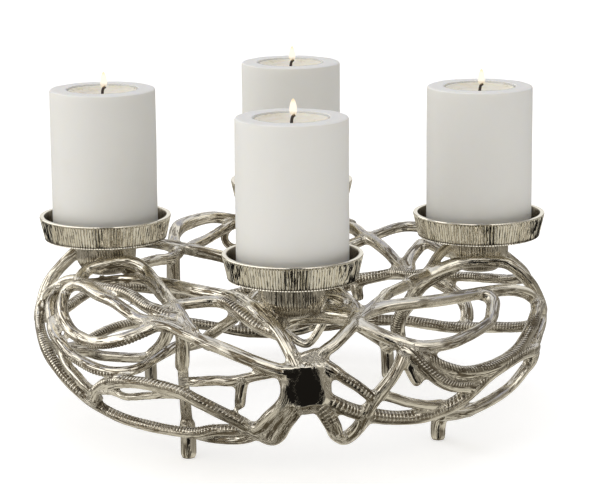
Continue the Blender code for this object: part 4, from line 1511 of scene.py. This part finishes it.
@dataclass
class Dish:
    """A shallow round dish with fine upright ribs round its wall."""

    place: Place
    rim_radius: float = 0.050
    foot_radius: float = 0.0465
    wall: float = 0.0035
    ribs: int = 144
    columns_per_rib: int = 8
    rib_depth: float = 0.00050
    plain_foot: float = 0.0002
    plain_lip: float = 0.0008
    fade: float = 0.0012
    # Painted shade inside the dish: the relief value given there
    inside_tone: float = 0.34
    sharp_angle: float = 24.0

    def profile(self) -> list[tuple[float, float]]:
        """Draws the dish's section.

        Returns:
            Radius and height of each step, from the hole in its underside over the wall to the
            hole in its floor.
        """
        base, top = RIM_HEIGHT - DISH_HEIGHT, RIM_HEIGHT
        foot, rim = self.foot_radius, self.rim_radius
        inner = rim - self.wall
        wall = [(foot + (rim - foot) * share, base + 0.0012 + (DISH_HEIGHT - 0.0024) * share)
                for share in (0, 0.07, 0.2, 0.4, 0.6, 0.8, 0.93, 1.0)]
        lip = [*rounded((rim, top - 0.0006), (rim, top), (rim - 0.0006, top), 2),
               *rounded((inner + 0.0008, top), (inner, top), (inner - 0.0001, top - 0.0009), 2)]
        floor = base + DISH_FLOOR
        inside = [*rounded((inner - 0.0004, floor + 0.0009), (inner - 0.0005, floor),
                           (inner - 0.0014, floor), 2), (0.0052, floor)]
        under = [(0.004, base), *rounded((foot - 0.0010, base), (foot - 0.0001, base + 0.0001),
                                         (foot, base + 0.0010), 2)]
        return under + wall + lip + inside

    def build(self) -> bpy.types.Object:
        """Models and dresses the dish.

        Returns:
            The finished dish.
        """
        base = RIM_HEIGHT - DISH_HEIGHT
        frame = self.place.frame()
        inverse = frame.inverted()
        bm = bmesh.new()
        turned(bm, self.profile(), self.ribs * self.columns_per_rib, frame)
        bm.verts.ensure_lookup_table()
        relief = []
        for vert in bm.verts:
            local = inverse @ vert.co
            radius, angle = math.hypot(local.x, local.y), math.atan2(local.y, local.x)
            outside = radius > self.foot_radius - 0.0011
            share = 0.0
            lowest, highest = base + self.plain_foot, base + DISH_HEIGHT - self.plain_lip
            if outside and lowest < local.z < highest:
                share = min(1.0, (local.z - lowest) / self.fade)
                share *= min(1.0, (highest - local.z) / self.fade)
            wave = self.wave(angle, local.z - base)
            factor = 1 + share * self.rib_depth * (wave - 1.0) / max(radius, 0.01)
            vert.co = frame @ Vector((local.x * factor, local.y * factor, local.z))
            # Painted shade: the inside round the candle is darker, and so are the mid-flanks of the
            # ribs
            inside = radius < self.rim_radius - self.wall + 0.0002 and local.z > base + 0.001
            relief.append(self.inside_tone if inside else 1.0 - share * 0.7 * (1.0 - abs(wave)))
        dish = new_object("ribbed_dish_" + self.place.label, bm, DISH_METAL)
        dish.data.set_sharp_from_angle(angle=math.radians(self.sharp_angle))
        store(dish.data, "relief", "FLOAT", np.array(relief))
        return place_piece(dish, "nickel", "dish_" + self.place.label)

    def wave(self, angle: float, height: float) -> float:
        """Shape of the ribs round the wall.

        Args:
            angle: Round the dish, in radians.
            height: Above its underside.

        Returns:
            From -1 in a groove to 1 on a rib.
        """
        seed = self.place.value
        x, y = math.cos(angle), math.sin(angle)
        wobble = noise.noise(Vector((x * 9, y * 9 + seed, height / 0.03)))
        grain = noise.noise(Vector((x * 60, y * 60 + seed, height / 0.01)))
        lean = 1.3 * math.sin(3 * angle + seed) * height / DISH_HEIGHT
        phase = math.cos(self.ribs * angle + 2.6 * wobble + 0.9 * grain + lean)
        return max(-1.0, min(1.0, 2.6 * phase - 1.5 + 0.5 * grain))


@dataclass
class PillarCandle:
    """A white pillar candle with a round well in its top."""

    place: Place
    radius: float = 0.040
    edge: float = 0.0016
    sides: int = 128
    unevenness: float = 0.00022
    dent: float = 0.00035

    def build(self) -> bpy.types.Object:
        """Models and dresses the candle.

        Returns:
            The finished candle.
        """
        bottom = RIM_HEIGHT - DISH_HEIGHT + DISH_FLOOR + GAP
        top = CANDLE_TOP
        well = CUP_RADIUS + GAP
        side = [(self.radius, bottom + CANDLE_HEIGHT * share)
                for share in (0.08, 0.2, 0.35, 0.5, 0.65, 0.8, 0.92)]
        profile = [(self.radius * 0.5, bottom), (self.radius - self.edge * 1.2, bottom),
                   *rounded((self.radius - self.edge, bottom), (self.radius, bottom),
                            (self.radius, bottom + self.edge)), *side,
                   *rounded((self.radius, top - self.edge * 1.1), (self.radius, top),
                            (self.radius - self.edge * 1.3, top), 4),
                   (self.radius * 0.86, top - 0.0003), (well + 0.0020, top - 0.0002),
                   *rounded((well + 0.0008, top), (well, top), (well, top - 0.0008)),
                   (well, top - CUP_HEIGHT - GAP)]
        bm = bmesh.new()
        frame = self.place.frame()
        inverse = frame.inverted()
        for vert in turned(bm, profile, self.sides, frame):
            local = inverse @ vert.co
            radius = math.hypot(local.x, local.y)
            if radius > self.radius - 0.004 and local.z > bottom + 0.003:
                swell = noise.noise(local * 26 + Vector((0, 0, self.place.value)))
                factor = 1 + self.unevenness * swell / radius
                dip = self.dent * noise.noise(local * 60) if local.z > top - 0.001 else 0.0
                vert.co = frame @ Vector((local.x * factor, local.y * factor, local.z + dip))
        middle = frame.translation
        # Marks the well's wall for its painted light
        painted_light_well = [math.hypot(vert.co.x - middle.x, vert.co.y - middle.y) < well + 0.001
                      for vert in bm.verts]
        candle = new_object("pillar_candle_" + self.place.label, bm, SHELL_WAX)
        store(candle.data, "well", "FLOAT", np.array(painted_light_well, float))
        return place_piece(candle, "white_wax", "candle_" + self.place.label)


@dataclass
class WaxInsert:
    """The clear cup in a candle's top with its wax, wick and flame."""

    place: Place
    sides: int = 96
    wick_radius: float = 0.0011
    wick_height: float = 0.0058
    wick_sides: int = 12
    fray: float = 0.00007
    ripple: float = 0.00022
    flame_shape: Profile = ((0.02, 0.0), (0.42, 0.02), (0.70, 0.07), (0.89, 0.15), (0.98, 0.25),
                            (1.0, 0.36), (0.95, 0.50), (0.83, 0.64), (0.64, 0.78), (0.38, 0.91),
                            (0.03, 1.0))
    flame_sides: int = 24
    flame_shift: float = 0.0012

    def build(self) -> list[bpy.types.Object]:
        """Models and dresses all four pieces."""
        return [self.cup(), self.wax(), self.wick(), self.flame()]

    def cup(self) -> bpy.types.Object:
        """Models the thin cup with a rounded rim.

        Returns:
            The finished cup.
        """
        top = CANDLE_TOP
        bottom = top - CUP_HEIGHT
        outer, inner = CUP_RADIUS, CUP_RADIUS - CUP_WALL
        profile = [(outer * 0.5, bottom), (outer - 0.001, bottom),
                   *rounded((outer - 0.0006, bottom), (outer, bottom), (outer, bottom + 0.0006)),
                   (outer, bottom + CUP_HEIGHT * 0.5),
                   *rounded((outer, top - 0.0005), (outer, top), (outer - 0.0004, top)),
                   *rounded((outer - 0.0004, top), (inner, top), (inner, top - 0.0005)),
                   (inner, bottom + CUP_HEIGHT * 0.5), (inner, bottom + CUP_WALL)]
        bm = bmesh.new()
        turned(bm, profile, self.sides, self.place.frame())
        cup = new_object("clear_cup_" + self.place.label, bm, CUP_PLASTIC)
        return place_piece(cup, "clear_cup", "insert_cup_" + self.place.label)

    def wax(self) -> bpy.types.Object:
        """Models the wax: a meniscus at the cup, two faint steps and a pool at the wick.

        Returns:
            The finished wax.
        """
        radius = CUP_RADIUS - CUP_WALL - GAP
        bottom = CANDLE_TOP - CUP_HEIGHT + CUP_WALL + GAP
        level = WAX_LEVEL
        hole = self.wick_radius + GAP
        profile = [(radius * 0.5, bottom), (radius - 0.0005, bottom), (radius, bottom + 0.0005),
                   (radius, level - 0.003), (radius, level + 0.0022),
                   (radius - 0.0004, level + 0.0023), (radius - 0.0014, level + 0.0017),
                   (0.0236, level + 0.0012), (0.0232, level + 0.0009), (0.0202, level + 0.0004),
                   (0.0176, level + 0.0001), (0.0171, level - 0.0004), (0.0145, level - 0.0007),
                   (0.012, level - 0.0010), (0.006, level - 0.0013),
                   (0.003, level - 0.0012), (hole + 0.0004, level - 0.0010),
                   (hole, level - 0.0011), (hole, level - 0.0110)]
        bm = bmesh.new()
        frame = self.place.frame()
        inverse = frame.inverted()
        for vert in turned(bm, profile, self.sides, frame):
            local = inverse @ vert.co
            radius = math.hypot(local.x, local.y)
            if local.z > level - 0.002 and 0.002 < radius < 0.0245:
                shift = Vector((self.place.value, 0, 0))
                vert.co.z += self.ripple * noise.noise(local * 150 + shift)
        wax = new_object("insert_wax_pool_" + self.place.label, bm, POOL_WAX)
        return place_piece(wax, "cream_wax", "insert_wax_" + self.place.label)

    def wick(self) -> bpy.types.Object:
        """Models the wick, bent over to the right above the wax.

        Returns:
            The finished wick.
        """
        start = WAX_LEVEL - 0.0010
        rise = self.wick_height
        bends = ((0.0, -0.0100, 0), (0.0, -0.0040, 0), (0.0, 0.0005, 0), (0.0001, rise * 0.3, 6),
                 (0.0003, rise * 0.55, 12), (0.0007, rise * 0.75, 24), (0.0014, rise * 0.9, 40),
                 (0.0021, rise * 0.975, 56), (0.0026, rise, 68))
        middle = self.place.frame(start).translation
        frames = [Matrix.Translation(middle + Vector((shift, 0, up)))
                  @ Matrix.Rotation(math.radians(lean), 4, "Y") for shift, up, lean in bends]
        bm = bmesh.new()
        swept(bm, frames, self.wick_radius, self.wick_sides)
        bmesh.ops.subdivide_edges(bm, edges=bm.edges, cuts=1, use_grid_fill=True)
        for vert in bm.verts:
            vert.co += self.fray * noise.noise_vector(vert.co * 2600)
        wick = new_object("burnt_wick_" + self.place.label, bm, WICK_COTTON)
        return place_piece(wick, "wick_cotton", "wick_" + self.place.label)

    def flame(self) -> bpy.types.Object:
        """Models the flame as a slim drop over the wick.

        Returns:
            The finished flame.
        """
        profile = [(share * GLOW.radius, GLOW.foot + up * GLOW.height)
                   for share, up in self.flame_shape]
        bm = bmesh.new()
        middle = self.place.frame().translation + Vector((self.flame_shift, 0, 0))
        turned(bm, profile, self.flame_sides, Matrix.Translation(middle))
        flame = new_object("candle_flame_" + self.place.label, bm, GLOW)
        return place_piece(flame, "cream_wax")


@dataclass
class Studio:
    """Floor, background, surroundings and camera."""

    floor_radius: float = 9.0
    floor_sides: int = 96
    film_width: float = 36.0
    farthest: float = 40.0
    camera_place: Point = (-0.0018, -1.7657, 0.5123)
    pitch: float = 12.09
    yaw: float = -0.25
    roll: float = -0.42
    focal_pixels: float = 2358.9
    photo_width: int = 600
    under: Colour = (0.09, 0.075, 0.05)
    table: Colour = (0.66, 0.63, 0.55)
    low: Colour = (0.31, 0.29, 0.25)
    wall: Colour = (0.90, 0.88, 0.83)
    dusk: Colour = (0.40, 0.41, 0.49)
    ceiling: Colour = (0.80, 0.81, 0.84)
    front_box: Colour = (1.35, 1.31, 1.23)
    left_box: Colour = (1.75, 1.71, 1.62)
    right_shade: Colour = (0.26, 0.24, 0.20)
    black: Colour = (0.010, 0.009, 0.008)

    def build(self) -> None:
        """Sets up everything round the ring."""
        self.floor()
        self.background()
        self.surroundings()
        self.camera()
        bpy.context.scene.view_settings.view_transform = "Standard"

    def floor(self) -> None:
        """Lays a wide pale floor."""
        bm = bmesh.new()
        bmesh.ops.create_circle(bm, cap_ends=True, segments=self.floor_sides,
                                radius=self.floor_radius)
        floor = new_object("studio_floor", bm, PAPER)
        floor.visible_glossy = False

    def background(self) -> None:
        """Closes the view above the floor with a plain white dome."""
        bm = bmesh.new()
        bmesh.ops.create_uvsphere(bm, u_segments=48, v_segments=24, radius=self.floor_radius - 0.2)
        bmesh.ops.bisect_plane(bm, geom=bm.verts[:] + bm.edges[:] + bm.faces[:],
                               plane_co=(0, 0, -0.01), plane_no=(0, 0, -1), clear_outer=True)
        white = Finish("studio_white", (("Emission Color", (1.0, 1.0, 1.0, 1.0)),
                                        ("Emission Strength", 1.0), ("Base Color", (0, 0, 0, 1))))
        dome = new_object("studio_background", bm, white)
        dome.visible_diffuse = dome.visible_glossy = dome.visible_shadow = False
        dome.visible_transmission = dome.visible_volume_scatter = False

    def surroundings(self) -> None:
        """Lights the ring by a studio all round.

        Each layer covers the last where the direction's x, y and z, from -1 to 1, pass its steps:
        soft boxes in front and on the left, a cool back wall and a black screen in front.
        """
        world = bpy.data.worlds.new("studio")
        bpy.context.scene.world = world
        sheet = NodeSheet(world)
        x, y, z = sheet.parts(sheet.node("ShaderNodeTexCoord").outputs["Generated"])
        sky = sheet.blend(self.under, self.table, z.step(-0.94, -0.80))
        sky = sheet.blend(sky, self.low, z.step(-0.46, -0.32))
        sky = sheet.blend(sky, self.wall, y.step(0.05, 0.45) * z.step(0.00, 0.12))
        sky = sheet.blend(sky, self.dusk, y.step(-0.05, 0.20) * z.step(0.42, 0.55))
        sky = sheet.blend(sky, self.ceiling, z.step(0.66, 0.86))
        sky = sheet.blend(sky, self.front_box,
                          y.step(0.05, -0.35) * z.step(0.16, 0.30) * z.step(0.80, 0.64))
        sky = sheet.blend(sky, self.left_box,
                          x.step(-0.45, -0.75) * z.step(-0.10, 0.12) * z.step(0.66, 0.48))
        sky = sheet.blend(sky, self.right_shade,
                          x.step(0.50, 0.88) * z.step(0.50, 0.30) * z.step(-0.5, -0.2))
        sideways = x / (0.0 - y)
        ahead = y.step(-0.05, -0.15)
        strip = (sideways.step(-0.38, -0.30) * sideways.step(0.64, 0.55) * ahead
                 * z.step(-0.86, -0.76) * z.step(0.05, -0.02))
        screen = sideways.step(-0.16, -0.10) * sideways.step(0.36, 0.28) * ahead
        screen = screen * z.step(-0.3, -0.2) * z.step(0.50, 0.44)
        sky = sheet.blend(sky, self.black, strip + screen - strip * screen)
        light = sheet.tree.nodes["Background"]
        sheet.feed(light.inputs["Color"], sky)
        sheet.feed(light.inputs["Strength"], 1.0)

    def camera(self) -> None:
        """Puts the camera where the photograph was taken from."""
        lens = bpy.data.cameras.new("camera")
        lens.sensor_width = self.film_width
        lens.lens = self.focal_pixels / self.photo_width * lens.sensor_width
        lens.clip_end = self.farthest
        camera = bpy.data.objects.new("camera", lens)
        camera.matrix_world = (Matrix.Translation(self.camera_place)
                               @ Matrix.Rotation(math.radians(self.yaw), 4, "Z")
                               @ Matrix.Rotation(math.radians(90 - self.pitch), 4, "X")
                               @ Matrix.Rotation(math.radians(self.roll), 4, "Z"))
        bpy.context.scene.collection.objects.link(camera)
        bpy.context.scene.camera = camera


def clear_startup() -> None:
    """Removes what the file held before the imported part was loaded."""
    kept = {*FRAME["nodes"].values(), *FRAME["bodies"].values()}
    for thing in [thing for thing in bpy.data.objects if thing not in kept]:
        bpy.data.objects.remove(thing, do_unlink=True)


def dress_screws() -> None:
    """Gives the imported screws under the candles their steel."""
    for place in Place:
        screw = FRAME["nodes"]["dish_screw_" + place.label]
        for slot in screw.material_slots:
            slot.material = STEEL.make()
        LOG.info("%s: dressed", screw.name)


def main() -> None:
    """Builds the ring, its dishes and candles, and the studio."""
    logging.basicConfig(level=logging.INFO, format="%(asctime)s %(message)s")
    clear_startup()
    dress_screws()
    RingCasting([Twig(name, width / 1000, route)
                 for name, (width, route) in TWIGS.items()] + [KNOT_FACE]).build()
    for place in Place:
        Dish(place).build()
        PillarCandle(place).build()
        WaxInsert(place).build()
    Studio().build()


if __name__ == "__main__":
    main()
